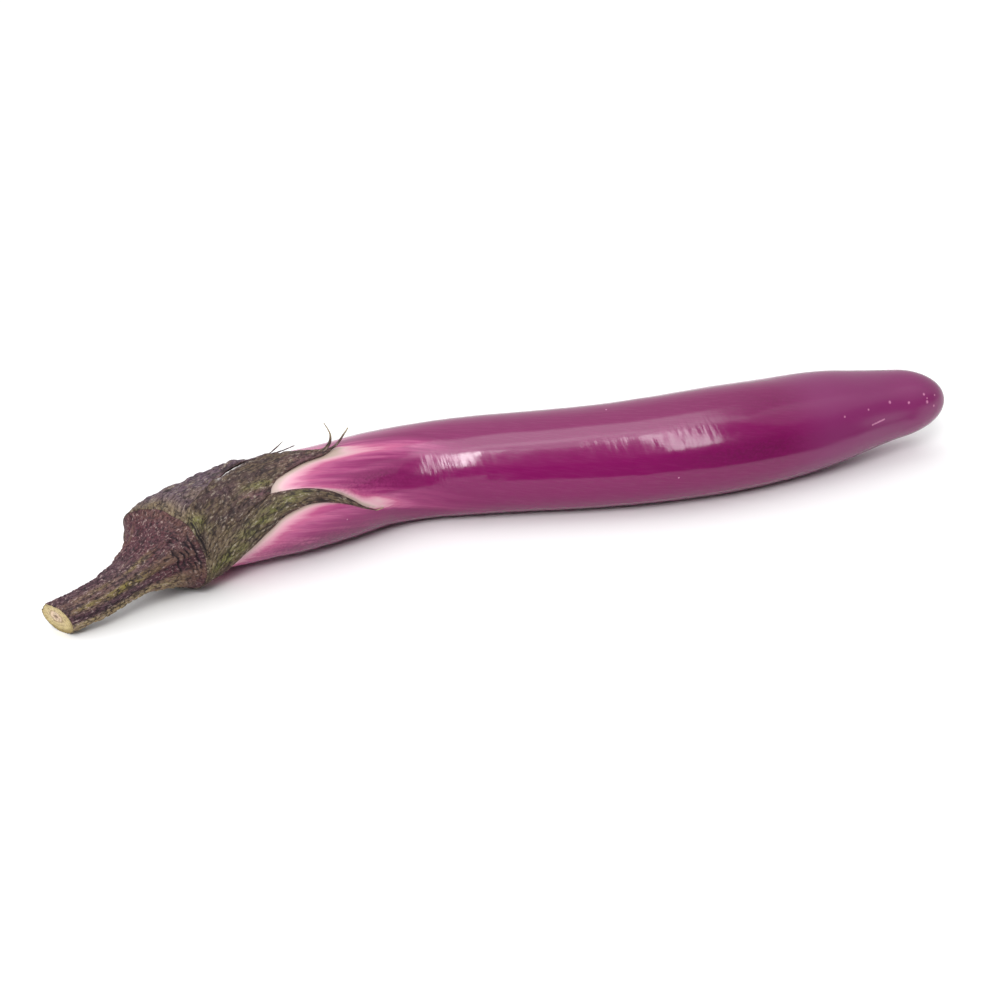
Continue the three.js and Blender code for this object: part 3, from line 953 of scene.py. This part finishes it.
# %% Roughness and fine streaks
CLEAN = (0.12, 0.15)
STREAKS_ADD = (0.04, 0.14)
END_ADDS = 0.13
DULLEST = 0.265
STREAK_HEIGHT = 0.00034
STREAK_BUMP = 0.5
slant = stretched(skin, attribute(skin, "slant", "Vector"), (0.62, 0.13, 0.13))
cross_streak = cloud(skin, slant, 1.0, 1.6, 0.55)
streaked = attribute(skin, "rippled")
roughness = between(skin, cloud(skin, place, 0.25, 3.0), 0.3, 0.7, *CLEAN)
duller = times(skin, streaked, between(skin, cross_streak, 0.4, 0.62, *STREAKS_ADD))
for more in (duller, times(skin, blossom_end, END_ADDS)):
    roughness = calculate(skin, "ADD", roughness, more)
roughness = calculate(skin, "MINIMUM", roughness, DULLEST)
skin.links.new(roughness, skin_shader.inputs["Roughness"])


def raised(tree, shader, height, strength, distance):
    """Fine relief by shading only, for what is too small for the mesh."""
    bump = add(tree, "Bump", {"Height": height, "Strength": strength, "Distance": distance})
    tree.links.new(bump, shader.inputs["Normal"])


raised(skin, skin_shader, times(skin, cross_streak, streaked), STREAK_BUMP, STREAK_HEIGHT)

# %% Fruit piece
pole_places = np.array([[HEAD_START, 0, 0], [LENGTH, 0, 0]])
skin_vectors = {"place": skin_place, "grain": skin_grain, "slant": skin_slant}
skin_values = {"growth": skin_growth, "rippled": rippled, "painted_shade": skin_painted_shade}
skin_attributes = {
    **{label: np.concatenate([v, pole_places]) for label, v in skin_vectors.items()},
    **{label: np.r_[v, 0, 0] for label, v in skin_values.items()},
}
make_piece("fruit_skin", skin_points, skin_faces, skin_attributes, skin_finish, "fruit")

# %% [markdown]
# ## The calyx sheet, bent round the fruit
# The flat sheet is laid round the fruit at its own height and given a thickness, which thins
# out towards every free edge so that the lobes hug the fruit.

# %% Calyx body
CALYX_CLEARANCE = [(51, 2.6), (60, 1.4), (70, 0.6), (85, 0.3)]
CALYX_THICKNESS = [(51, 2.2), (65, 1.7), (85, 1.1), (105, 0.9), (130, 0.8)]
EDGE_THICKNESS = 0.3
EDGE_TAPER = 2.6
clearance = through(CALYX_CLEARANCE)
thickness = through(CALYX_THICKNESS)


def open_edges(faces):
    sides = {(face[k], face[(k + 1) % 4]) for face in faces for k in range(4)}
    return sorted((a, b) for a, b in sides if (b, a) not in sides)


def distance_from(points, targets):
    """How far each point is from the nearest target point."""
    tree = kdtree.KDTree(len(targets))
    for order, target in enumerate(targets):
        tree.insert(target, order)
    tree.balance()
    return np.array([tree.find(point)[2] for point in points])


def bend_round(thick):
    standing = (fruit_radius(sheet_s) + clearance(sheet_s) + thick / 2) * corner(sheet_s, sheet_phi)
    radius = np.maximum(standing, fruit_radius(sheet_s) + GAP + thick / 2) + sheet_height
    return surface_point(sheet_s + ring_shift(sheet_s, sheet_phi), sheet_phi, radius)


rim_points = np.array(sorted({a for edge in open_edges(sheet_faces) for a in edge}))
rim_points = rim_points[sheet_s[rim_points] > RING_S + 2]
full = thickness(sheet_s) * (1 - GROOVE_DEPTH * sheet_groove)
sheet_points = bend_round(full)
sheet_edge = distance_from(sheet_points, sheet_points[rim_points])
thick = mix(EDGE_THICKNESS, full, smooth(0, EDGE_TAPER, sheet_edge))
sheet_points = bend_round(thick)


def point_normals(points, faces):
    quads = np.array(faces)
    across = points[quads[:, 2]] - points[quads[:, 0]]
    other = points[quads[:, 3]] - points[quads[:, 1]]
    normal = np.cross(across, other)
    total = np.zeros_like(points)
    for k in range(4):
        np.add.at(total, quads[:, k], normal)
    return total / np.maximum(np.linalg.norm(total, axis=1, keepdims=True), 1e-12)


sheet_normals = point_normals(sheet_points, sheet_faces)
print(f"calyx from {thick.min():.2f} to {thick.max():.2f} mm thick")

# %% [markdown]
# ## Grains and creases
# The outer face is rough like bark: veins run from the ring to the tips of the lobes, rows of
# small knobs with dark creases between them lie along the veins, and softer lumps make the
# outline uneven. All of it follows a middle line of each lobe, so the sheet is first
# straightened along that line. The knobs move the points themselves; only what is finer than
# the mesh is left to the finish.

# %% Growth lines of the lobes
LOBE_MIDDLES = {
    "under": [(51, 190), (97, 197)],
    "horn": [
        (51, 120), (60, 106), (70, 91), (80, 75), (91, 61), (97, 57), (103, 60), (110, 69),
        (118, 82), (126, 94),
    ],
    "near": [(51, 58), (60, 48), (70, 37), (80, 28), (90, 21), (100, 17), (115, 12), (127, 5)],
    "back": [(51, 12), (60, 4), (70, -6), (80, -15), (90, -25), (112, -36)],
    "far": [(51, -70), (85, -110), (113, -135)],
}
LOBE_LINE = ["under", "horn", "near", "near", "back", "back", "far"]
LINES_APART = 40
line_of_point = np.array([LOBE_LINE[int(number)] for number in sheet_lobe])
sheet_flow = np.zeros(len(sheet))
for order, (label, keys) in enumerate(LOBE_MIDDLES.items()):
    here = line_of_point == label
    sheet_flow[here] = sheet_phi[here] - through(keys)(sheet_s[here]) + LINES_APART * order
sheet_place = straightened(sheet_s, sheet_flow, RING_RADIUS)

# %% Crest between the top lobe and the near lobe
CREST = [(51, 38), (58, 33), (65, 23), (70, 16), (76, 6)]
CREST_HEIGHT = 0.65
CREST_WIDTH = 1.0
CREST_SPAN = ((50, 55), (76, 79))
HOLLOW_DEPTH = 0.35
HOLLOW_SPAN = ((0, -2.5), (-6, -12))
crest_away = (sheet_phi - through(CREST)(sheet_s)) * ARC_PER_DEGREE
on_crest = plateau(*CREST_SPAN, sheet_s)
crest = CREST_HEIGHT * on_crest * bell(crest_away, 0, CREST_WIDTH)
hollow = HOLLOW_DEPTH * on_crest * plateau(*HOLLOW_SPAN, crest_away)

# %% Calyx relief
CALYX_VEINS = Wave((11, 1.25, 1.25), seed=12, depth=0.38)
CALYX_KNOBS = Wave((3.0, 1.15, 1.15), seed=11, depth=0.5)
CALYX_LUMPS = Wave((4.5, 3.2, 3.2), seed=13, depth=0.5)
MEAN_KNOB = 0.5
EDGE_SHARE = 0.3
EDGE_SPAN = (0.2, 2.2)
PIT_MOST = 1.2
JOINED_OVER = 1.2
BROAD_SWELL = [(83.5, -27, 4.5, 14, 1.1)]
BROAD_SINK = [(66, -32, 13, 26, 0.5), (95, -27, 5, 14, 0.3), (54, -72, 6, 24, 0.9)]
CRAGGY = {"more": 1.1, "ends": 92}

calyx_veins = ripple(sheet_place, CALYX_VEINS)
calyx_knobs = knobs(sheet_place, CALYX_KNOBS)
calyx_lumps = ripple(sheet_place, CALYX_LUMPS)
calyx_creases = wrinkles_across(sheet_s, sheet_phi)
on_body = mix(EDGE_SHARE, 1, smooth(*EDGE_SPAN, sheet_edge))
craggy = 1 + CRAGGY["more"] * (line_of_point == "back") * (sheet_s < CRAGGY["ends"])
swell = patches(sheet_s, sheet_phi, BROAD_SWELL) - patches(sheet_s, sheet_phi, BROAD_SINK)
joined = smooth(0, JOINED_OVER, sheet_s - RING_S)
calyx_relief = on_body * joined * (
    CALYX_VEINS.depth * calyx_veins
    + CALYX_KNOBS.depth * (calyx_knobs - MEAN_KNOB)
    + CALYX_LUMPS.depth * calyx_lumps * craggy
    - WRINKLES["depth"] * calyx_creases
) + crest - hollow + swell
calyx_pit = 1.1 * calyx_knobs + 0.5 * calyx_veins + 0.25 * calyx_lumps
calyx_pit = np.clip(calyx_pit, 0, PIT_MOST)
print(f"calyx relief from {calyx_relief.min():.2f} to {calyx_relief.max():.2f} mm")


# %% Thicken the sheet
def thickened(points, normals, outer, inner, faces):
    """Outer and inner faces of a sheet, closed along its open edges."""
    both = np.concatenate([points + normals * outer[:, None], points - normals * inner[:, None]])
    both[:, 2] = np.maximum(both[:, 2], 0)
    count = len(points)
    quads = list(faces) + [tuple(i + count for i in face[::-1]) for face in faces]
    quads += [(b, a, a + count, b + count) for a, b in open_edges(faces)]
    return both, quads


THINNEST = 0.1
outer = np.maximum(thick / 2 + calyx_relief, THINNEST)
calyx_points, calyx_faces = thickened(sheet_points, sheet_normals, outer, thick / 2, sheet_faces)

# %% [markdown]
# ## Calyx colours
# The tissue is brown-grey, with green showing where it is younger along the near lobes and
# olive round the ring. The top lobe, which faces the light from above, has a painted bluish
# sheen, and the near lobe beside it has patches of painted shade. Where each tint lies is worked
# out per point and blended in by the nodes; over that, pale and dark grains speckle everything,
# and painted shade darkens the pits.

# %% Where each tint lies
CALYX_PATCHES = {
    "olive": [
        (53, 10, 4, 30, 1.0), (63, 17, 4, 6, 0.55), (54, 36, 5, 12, 0.8), (62, 80, 12, 16, 0.5),
        (54, 100, 4, 20, 1.0), (118, 80, 7, 8, 0.4),
    ],
    "green": [
        (55, 50, 4.5, 9, 0.9), (60, 62, 4, 6, 0.3), (61, 112, 6, 8, 0.95), (66, 104, 6, 8, 0.9),
        (72, 96, 6, 7, 0.8), (78, 82, 6, 6, 0.75), (84, 72, 6, 5, 0.75), (90, 64, 6, 5, 0.75),
        (96, 58, 5, 5, 0.7), (101, 55, 4, 5, 0.5), (87, 33, 7, 4, 0.7),
    ],
    "red": [(85, 44, 6, 5, 0.7), (74, 28, 8, 6, 0.4), (107, 15, 9, 7, 0.75), (66, 118, 6, 5, 0.3)],
    # The dark patches, all on the near lobe, are painted shade that sets it off from the sheen of
    # the top lobe.
    "dark": [
        (68, 56, 7, 5, 0.75), (80, 50, 6, 4, 0.5), (72, 28, 9, 7, 0.85), (82, 18, 9, 7, 0.75),
        (94, 12, 8, 6, 0.4), (52, 74, 2, 9, 0.8), (55, 66, 3, 5, 0.6), (104, 10, 9, 6, 0.35),
    ],
}
calyx_tints = {label: patches(sheet_s, sheet_phi, p) for label, p in CALYX_PATCHES.items()}
# The top lobe faces the light from above, so it gets a painted bluish sheen.
SHEEN_BEGINS = (51, 57)
calyx_top_sheen = (line_of_point == "back") * smooth(*SHEEN_BEGINS, sheet_s)

# %% Painted highlight along the crest, and pale tips
# A thin line of painted highlight, where the edge of the near lobe catches the light beside the top
# lobe.
CREST_HIGHLIGHT = [
    (62, 28), (65, 23.5), (68, 19), (72, 12.8), (76, 6.4), (79, 1), (82.4, -5), (86, -8.4),
    (88.5, -11),
]
CREST_HIGHLIGHT_WIDTH = 0.75
CREST_HIGHLIGHT_STRETCH = 0.8
CREST_HIGHLIGHT_SPAN = ((73, 79), (87, 90))
CREST_HIGHLIGHT_BREAKS = Wave((2.5, 2.5, 2.5), seed=15, depth=0.7)
CREST_HIGHLIGHT_MEAN = 1.05
LIFTED_TIPS = (2.5, 6.5)
HORN_TIP = (126.5, 128.5)
TIP_SHARE = 0.8
line_s, line_phi = np.array(CREST_HIGHLIGHT, float).T
away_from_highlight = (sheet_phi - np.interp(sheet_s, line_s, line_phi)) * ARC_PER_DEGREE * CREST_HIGHLIGHT_STRETCH
within = plateau(*CREST_HIGHLIGHT_SPAN, sheet_s) * (line_of_point == "near")
unbroken = np.clip(CREST_HIGHLIGHT_MEAN + CREST_HIGHLIGHT_BREAKS.depth * ripple(sheet_place, CREST_HIGHLIGHT_BREAKS), 0, 1)
calyx_crest_highlight = within * bell(away_from_highlight, 0, CREST_HIGHLIGHT_WIDTH) * unbroken
horn_tip = (line_of_point == "horn") * smooth(*HORN_TIP, sheet_s)
calyx_tip = np.maximum(smooth(*LIFTED_TIPS, sheet_height), horn_tip) * TIP_SHARE

# %% [markdown]
# ## A finish for rough tissue
# Calyx and stem are the same kind of tissue, so one function paints both. It lays tones along
# the veins first, then the tints where they lie, then pale and dark grains, and at the end
# painted shade in the pits between the knobs and deep in the creases, which on the stem comes
# after a lighter tint on the crown's folds.

# %% Rough tissue
STREAKY_SPAN = (0.36, 0.56)
CALM_SPAN = (0.38, 0.58)
PALE_GRAINS = (0.54, 0.64)
DARK_GRAINS = (0.48, 0.38)
# Painted shade in the pits between knobs and deep in the creases, each as (from, to, most).
PIT_SHADE = (0.42, 0.08, 0.72)
CREASE_SHADE = (0.3, 0.8, 0.95)
GRIT_BUMP = 0.8
GRIT_HEIGHT = 0.00035


def layered(tree, colour, layers):
    """Lays tints over a colour, each as (attribute, (from, to, most), tint)."""
    for label, (low, high, most), tint in layers:
        share = between(tree, attribute(tree, label), low, high, 0.0, most)
        colour = blend_colours(tree, share, colour, tint)
    return colour


def rough_tissue(name, look):
    """A finish, its nodes and shader, and its colour before the last touches."""
    finish, tree, shader = new_finish(
        name, Roughness=look["roughness"], IOR=1.45, Specular_IOR_Level=0.22
    )
    place = attribute(tree, "place", "Vector")
    tone = streaks(tree, place, *look["tone"], 3.0, 0.65)
    grit = streaks(tree, place, *look["grit"], 4.0, 0.72)
    streaky = streaks(tree, place, *look["streaky"], 2.0, 0.6)
    colour = colour_scale(tree, tone, look["tones"])
    for label, tint, most in look["tints"]:
        present = between(tree, streaky, *STREAKY_SPAN, most * look["least"], most)
        colour = blend_colours(tree, times(tree, attribute(tree, label), present), colour, tint)
    colour = layered(tree, colour, look["under_grains"])
    calm = between(tree, cloud(tree, place, 0.35, 1.0), *CALM_SPAN, 0.25, 1.0)
    most, tint = look["pale_grains"]
    pale = times(tree, calm, between(tree, grit, *PALE_GRAINS, 0.0, most))
    colour = blend_colours(tree, pale, colour, tint)
    most, tint = look["dark_grains"]
    colour = blend_colours(tree, between(tree, grit, *DARK_GRAINS, 0.0, most), colour, tint)
    raised(tree, shader, grit, GRIT_BUMP, GRIT_HEIGHT)
    return finish, tree, shader, layered(tree, colour, look["over_grains"])


# %% Calyx finish
# Clouds are (share of their length along the lobe, scale); grains are (most, colour).
CALYX_LOOK = {
    "roughness": 0.62,
    "tone": (0.25, 0.55),
    "grit": (0.4, 1.25),
    "streaky": (0.3, 1.0),
    "tones": [
        (0.32, (0.056, 0.032, 0.030)), (0.46, (0.076, 0.045, 0.037)),
        (0.58, (0.102, 0.067, 0.043)), (0.72, (0.148, 0.110, 0.058)),
    ],
    # The first tint is a painted sheen on the top lobe, the last painted shade on the near lobe.
    "tints": [
        ("top_sheen", (0.102, 0.062, 0.090), 0.9),
        ("olive", (0.250, 0.188, 0.108), 0.8),
        ("green", (0.165, 0.172, 0.040), 0.9),
        ("red", (0.175, 0.074, 0.096), 0.8),
        # painted shade on the near lobe
        ("dark", (0.036, 0.017, 0.025), 0.9),
    ],
    "least": 0.45,
    "under_grains": [("edge", (0.8, 0.15, 0.75), (0.084, 0.034, 0.036))],
    "pale_grains": (0.62, (0.40, 0.34, 0.27)),
    "dark_grains": (0.85, (0.014, 0.008, 0.010)),
    # Painted shade in the pits and the creases.
    "over_grains": [
        ("pit", PIT_SHADE, (0.014, 0.008, 0.009)),
        ("crease", CREASE_SHADE, (0.008, 0.004, 0.006)),
    ],
}
calyx_finish, calyx, calyx_shader, calyx_colour = rough_tissue("calyx_tissue", CALYX_LOOK)
# pale is the painted highlight along the crest; tip is the tan of the lifted tips.
for label, tint in (("pale", (0.80, 0.76, 0.76)), ("tip", (0.42, 0.35, 0.20))):
    calyx_colour = blend_colours(calyx, attribute(calyx, label), calyx_colour, tint)
calyx.links.new(calyx_colour, calyx_shader.inputs["Base Color"])

# %% Calyx piece
INNER_SHIFT = (0, 0, 0.5)
# Of these, the top lobe's tint is a painted sheen, the dark patches are painted shade, the crest
# line is a painted highlight, and pit and crease set where painted shade lies.
calyx_values = {
    "edge": sheet_edge,
    "pit": calyx_pit,
    "crease": calyx_creases,
    "top_sheen": calyx_top_sheen,
    **calyx_tints,
    "pale": calyx_crest_highlight,
    "tip": calyx_tip,
}
values = {
    "place": np.concatenate([sheet_place, sheet_place - INNER_SHIFT]),
    **{label: np.r_[outside, outside] for label, outside in calyx_values.items()},
}
make_piece("calyx_lobes", calyx_points, calyx_faces, values, calyx_finish, "calyx")

# %% [markdown]
# ## Stem
# The stem is a ribbed stalk that flares into a soft pentagon, the ring, where the calyx
# begins. Its skin is grained lengthwise and cracked across, and its end is a slanting cut. A
# fleshy keel widens it on its low side, and soft folds run up its crown to the ring. It is a
# tube again, with its own veins, knobs and cracks, and with the ring's creases.

# %% Stem measurements
STEM_RADIUS = [
    (0, 5.8), (15, 6), (25, 6.4), (32, 7.1), (38, 8.8), (43, 11.1), (48, 14.6), (51, 17.4),
]
STEM_CUT = {"s": 5, "slant": 3, "low_side": 100}
STEM_RIDGES = {"count": 5, "share": 0.035, "first": 130}
KEEL = {"phi": 145, "half_width": 22, "height": 1.6, "rise": (34, 42), "fall": (47, 52)}
STEM_SEGMENTS = 280
STEM_ROWS = 165
stem_radius = through(STEM_RADIUS)


def keel(s, phi):
    """The fleshy keel along the low side of the stem as it widens."""
    along = plateau(KEEL["rise"], KEEL["fall"], s)
    return KEEL["height"] * along * bell(phi, KEEL["phi"], KEEL["half_width"])


def stem_point(s, phi, extra):
    turn = np.radians(STEM_RIDGES["count"] * (phi - STEM_RIDGES["first"]))
    ridge = 1 + STEM_RIDGES["share"] * np.cos(turn) * (1 - smooth(FLARE_START, RING_S, s))
    radius = stem_radius(s) * ridge * corner(s, phi) + keel(s, phi) + extra
    return surface_point(s + ring_shift(s, phi), phi, radius)


# %% Stem relief
STEM_RIBS = Wave((22, 1.3, 1.3), seed=22, depth=0.42)
STEM_KNOBS = Wave((2.0, 1.0, 1.0), seed=21, depth=0.36)
STEM_LUMPS = Wave((5, 4, 4), seed=23, depth=0.28)
STEM_CRACKS = Wave((1.6, 3.6, 3.6), seed=24, depth=0.22)
CROWN_FOLDS = Wave((14, 2.4, 2.4), seed=27, depth=0.75)
CROWN_RADIUS = 11.0
CROWN_SPAN = ((30, 38), (47, 50.5))
CRACKED = (0.7, 1)
CRACKS_END = (30, 38)
SIDE_FOLD = {"phi": 106, "width": 4.5, "depth": 0.5, "ends": (36, 46)}
STEM_INSET = (-0.15, 0.35)
INSET_SPAN = (32, 44)
STEM_SINK = [(48, 288, 5, 24, 0.8)]
# How much painted shade the cracks and the side fold get, through the pit value.
CRACK_SHADE = 0.6

stem_angles = np.arange(STEM_SEGMENTS) * 360 / STEM_SEGMENTS
along_stem, stem_phi = rings_of(np.linspace(0, 1, STEM_ROWS + 1), stem_angles)
cut_s = STEM_CUT["s"] + STEM_CUT["slant"] * np.cos(np.radians(stem_phi - STEM_CUT["low_side"]))
stem_s = mix(cut_s, RING_S, along_stem)
stem_place = straightened(stem_s, stem_phi, stem_radius(stem_s) * corner(stem_s, stem_phi))
stem_ribs = ripple(stem_place, STEM_RIBS)
stem_knobs = knobs(stem_place, STEM_KNOBS)
stem_lumps = ripple(stem_place, STEM_LUMPS)
stem_cracks = smooth(*CRACKED, 1 - knobs(stem_place, STEM_CRACKS))
stem_cracks *= 1 - smooth(*CRACKS_END, stem_s)
stem_creases = wrinkles_across(stem_s, stem_phi)
fold = bell(stem_phi, SIDE_FOLD["phi"], SIDE_FOLD["width"])
fold *= 1 - smooth(*SIDE_FOLD["ends"], stem_s)
crown_folds = ripple(straightened(stem_s, stem_phi, CROWN_RADIUS), CROWN_FOLDS)
crown_folds *= plateau(*CROWN_SPAN, stem_s)
stem_relief = smooth(0, JOINED_OVER, RING_S - stem_s) * (
    STEM_RIBS.depth * stem_ribs
    + STEM_KNOBS.depth * (stem_knobs - MEAN_KNOB)
    + STEM_LUMPS.depth * stem_lumps
    - STEM_CRACKS.depth * stem_cracks
    - WRINKLES["depth"] * stem_creases
    - SIDE_FOLD["depth"] * fold
    + CROWN_FOLDS.depth * crown_folds
    - patches(stem_s, stem_phi, STEM_SINK)
    - mix(*STEM_INSET, smooth(*INSET_SPAN, stem_s))
)
# The pit value is low where painted shade goes: between knobs, in the cracks and in the side fold.
stem_pit = np.clip(1.1 * stem_knobs + 0.6 * stem_ribs, 0, PIT_MOST)
stem_pit *= (1 - CRACK_SHADE * stem_cracks) * (1 - CRACK_SHADE * fold)
stem_skin = stem_point(stem_s, stem_phi, stem_relief)
print(f"stem relief from {stem_relief.min():.2f} to {stem_relief.max():.2f} mm")

# %% [markdown]
# ## Stem ends
# The cut end is closed by rings that shrink towards its middle. It is slightly hollow, as the
# soft inside dries and sinks, and rough from the knife. The other end stays hidden inside the
# calyx and is shaped to lie just clear of the fruit's domed head.

# %% Stem ends
CUT_SHARES = [
    0.97, 0.92, 0.86, 0.8, 0.74, 0.68, 0.62, 0.56, 0.5, 0.44, 0.38, 0.32, 0.26, 0.2, 0.14, 0.08,
]
CUT_HOLLOW = 0.25
CUT_RIM = (0.99, 0.86)
CUT_GROOVES = [Wave((0.9, 0.9, 0.9), seed=61, depth=0.06), Wave((2.5, 2.5, 2.5), 62, 0.05)]
HOLLOW_SHARES = (0.98, 0.86, 0.66, 0.4, 0.2)
cut_edge = stem_skin[:STEM_SEGMENTS]
cut_centre, along_cut = on_axis(STEM_CUT["s"])
cut_rings = []
for cut_share in reversed(CUT_SHARES):
    ring = mix(cut_centre, cut_edge, cut_share)
    grooves = sum(wave.depth * ripple(ring, wave) for wave in CUT_GROOVES)
    sunk_here = CUT_HOLLOW * smooth(*CUT_RIM, cut_share) + grooves
    cut_rings.append(ring + along_cut * sunk_here[:, None])

ring_s = np.full(STEM_SEGMENTS, float(RING_S))
rim_radius = (fruit_radius(RING_S) + clearance(RING_S)) * corner(ring_s, stem_angles)
hollow_rings = [surface_point(ring_s + ring_shift(ring_s, stem_angles), stem_angles, rim_radius)]
for hollow_share in HOLLOW_SHARES:
    s = HEAD_END - (1 - hollow_share**2) ** (1 / HEAD_POWER) * HEAD_ROUNDING
    lowered = np.full(STEM_SEGMENTS, min(s, RING_S) - 2 * GAP)
    radius = np.full(STEM_SEGMENTS, hollow_share * fruit_radius(s))
    hollow_rings.append(surface_point(lowered, stem_angles, radius))
stem_points = np.concatenate(
    [
        [cut_centre + along_cut * CUT_HOLLOW],
        *cut_rings,
        stem_skin,
        *hollow_rings,
        [on_axis(HEAD_START - 2 * GAP)[0]],
    ]
)
stem_rings = len(CUT_SHARES) + STEM_ROWS + 1 + len(hollow_rings)
stem_faces = tube_faces(stem_rings, STEM_SEGMENTS, first=1)
last = len(stem_points) - 1
close_ends(stem_faces, STEM_SEGMENTS, 0, 1, last - STEM_SEGMENTS, last)

# %% [markdown]
# ## Stem colours
# The stalk is dark purple with tan and green showing between its ribs, and a lighter strip
# runs along its underside. The cut shows a yellow-green rind of fibres round a small pale
# pith. The pith sits off centre, so how far a place is from it is measured, and the colours
# of the cut are laid out along that distance.

# %% Places on the whole stem
# cut_share_all is 0 in the middle of the cut, 1 on its edge and 2 on the bark.
PITH = {"share": 0.16, "phi": math.radians(-35)}
ON_BARK = 2.0
before_skin = len(CUT_SHARES) * STEM_SEGMENTS + 1
after_skin = len(hollow_rings) * STEM_SEGMENTS + 1


def on_whole_stem(skin_values, cut_value=0.0, end_value=0.0):
    cut_values, end_values = np.full(before_skin, cut_value), np.full(after_skin, end_value)
    return np.concatenate([cut_values, skin_values, end_values])


cut_phi = np.tile(stem_angles, len(CUT_SHARES))
all_stem_phi = np.r_[0, cut_phi, stem_phi, np.tile(stem_angles, len(hollow_rings)), 0]
all_stem_s = on_whole_stem(stem_s, STEM_CUT["s"], RING_S)
cut_share_all = on_whole_stem(np.full(len(stem_s), ON_BARK), 0.0, ON_BARK)
cut_share_all[1:before_skin] = np.repeat(sorted(CUT_SHARES), STEM_SEGMENTS)
cut_share_all[before_skin:][:STEM_SEGMENTS] = 1.0
from_middle = np.minimum(cut_share_all, 1)
all_stem_place = straightened(all_stem_s, all_stem_phi, stem_radius(all_stem_s) * from_middle)
all_turn = np.radians(all_stem_phi)
flat_place = from_middle[:, None] * np.stack([np.cos(all_turn), np.sin(all_turn)], -1)
pith_at = PITH["share"] * np.array([np.cos(PITH["phi"]), np.sin(PITH["phi"])])
from_pith = np.linalg.norm(flat_place - pith_at, axis=1)

# %% Where each stem tint lies
STEM_PATCHES = {
    "green": [
        (26, 66, 8, 10, 1.0), (33, 74, 6, 7, 0.8), (15, 62, 5, 8, 0.6), (35, 37, 5, 6, 0.6),
        (20, 30, 6, 6, 0.3),
    ],
    "tan": [
        (14, 34, 14, 15, 0.9), (16, 62, 12, 12, 0.6), (41, 64, 7, 10, 0.75),
        (49.5, 106, 3, 14, 0.9), (50, 50, 2.5, 30, 0.6), (50, 5, 1.5, 35, 0.5),
    ],
    "dark": [
        (16, 88, 14, 9, 0.9), (30, 98, 8, 9, 0.7), (50.5, 84, 2, 14, 0.9),
        (47.5, 66, 2, 14, 0.5), (10, -10, 12, 18, 0.5),
    ],
}
STRIP = {"sides": ((104, 113), (160, 190)), "ends": (42, 48)}
CROWN_BEGINS = (30, 40)
strip = plateau(*STRIP["sides"], stem_phi) * (1 - smooth(*STRIP["ends"], stem_s))
stem_tints = {
    "crease": stem_creases,
    "ridge": crown_folds,
    **{label: patches(stem_s, stem_phi, plans) for label, plans in STEM_PATCHES.items()},
    "strip": strip,
    "crown": smooth(*CROWN_BEGINS, stem_s),
}
stem_values = {
    "place": all_stem_place,
    "pit": on_whole_stem(stem_pit, 1.0, 1.0),
    **{label: on_whole_stem(values) for label, values in stem_tints.items()},
    "cut": cut_share_all,
    "pith": from_pith,
}

# %% Stem bark
STEM_LOOK = {
    "roughness": 0.58,
    "tone": (0.07, 0.6),
    "grit": (0.5, 1.35),
    "streaky": (0.25, 1.1),
    "tones": [
        (0.34, (0.045, 0.017, 0.028)), (0.48, (0.073, 0.032, 0.044)),
        (0.60, (0.104, 0.052, 0.056)), (0.72, (0.142, 0.088, 0.068)),
    ],
    "tints": [
        ("crown", (0.078, 0.020, 0.029), 0.9),
        ("tan", (0.156, 0.092, 0.058), 0.8),
        ("strip", (0.270, 0.205, 0.105), 0.95),
        ("green", (0.240, 0.198, 0.046), 0.95),
        ("dark", (0.048, 0.016, 0.027), 0.85),
    ],
    "least": 0.4,
    "under_grains": [],
    "pale_grains": (0.7, (0.42, 0.32, 0.29)),
    "dark_grains": (0.9, (0.012, 0.005, 0.008)),
    # A lighter tint on the crown's folds, then painted shade in the pits and the creases.
    "over_grains": [
        ("ridge", (0.05, 0.35, 0.4), (0.150, 0.088, 0.060)),
        ("pit", PIT_SHADE, (0.014, 0.007, 0.010)),
        ("crease", CREASE_SHADE, (0.010, 0.004, 0.008)),
    ],
}
stem_finish, stem, stem_shader, stem_colour = rough_tissue("stem_bark", STEM_LOOK)

# %% Cut end
CUT_COLOURS = [
    (0.0, (0.17, 0.11, 0.085)),
    (0.10, (0.26, 0.17, 0.13)),
    (0.15, (0.62, 0.47, 0.36)),
    (0.33, (0.66, 0.52, 0.38)),
    (0.40, (0.34, 0.23, 0.13)),
    (0.46, (0.58, 0.47, 0.27)),
    (0.85, (0.52, 0.42, 0.21)),
    (1.0, (0.30, 0.23, 0.10)),
]
FIBRE_COLOUR = (0.22, 0.155, 0.070)
RIM_COLOUR = (0.12, 0.10, 0.035)
FRAYING = 0.16
cut = attribute(stem, "cut")
fibres = cloud(stem, attribute(stem, "place", "Vector"), 1.5, 4.0, 0.7)
frayed = times(stem, calculate(stem, "SUBTRACT", fibres, 0.5), FRAYING)
pith = calculate(stem, "ADD", attribute(stem, "pith"), frayed)
cut_colour = colour_scale(stem, pith, CUT_COLOURS)
fibrous = between(stem, fibres, 0.53, 0.38, 0.0, 0.75)
cut_colour = blend_colours(stem, fibrous, cut_colour, FIBRE_COLOUR)
cut_colour = blend_colours(stem, between(stem, cut, 0.93, 1.0, 0.0, 0.8), cut_colour, RIM_COLOUR)
stem_colour = blend_colours(stem, between(stem, cut, 1.02, 0.97), stem_colour, cut_colour)
stem.links.new(stem_colour, stem_shader.inputs["Base Color"])

# %% Stem piece
make_piece("stem_stalk", stem_points, stem_faces, stem_values, stem_finish, "stem")

# %% [markdown]
# ## Sizes
# The boxes round the imported part and round the finer pieces are printed one after the other.
# The finer pieces have to stay inside the imported part.

# %% Sizes
visual_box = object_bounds()
sizes = {
    "cad": [list(corner_point) for corner_point in cad_box],
    "visual": [list(corner_point) for corner_point in visual_box],
}
for name, box in sizes.items():
    print(name, "box in mm:", [[round(x / MM, 2) for x in corner_point] for corner_point in box])
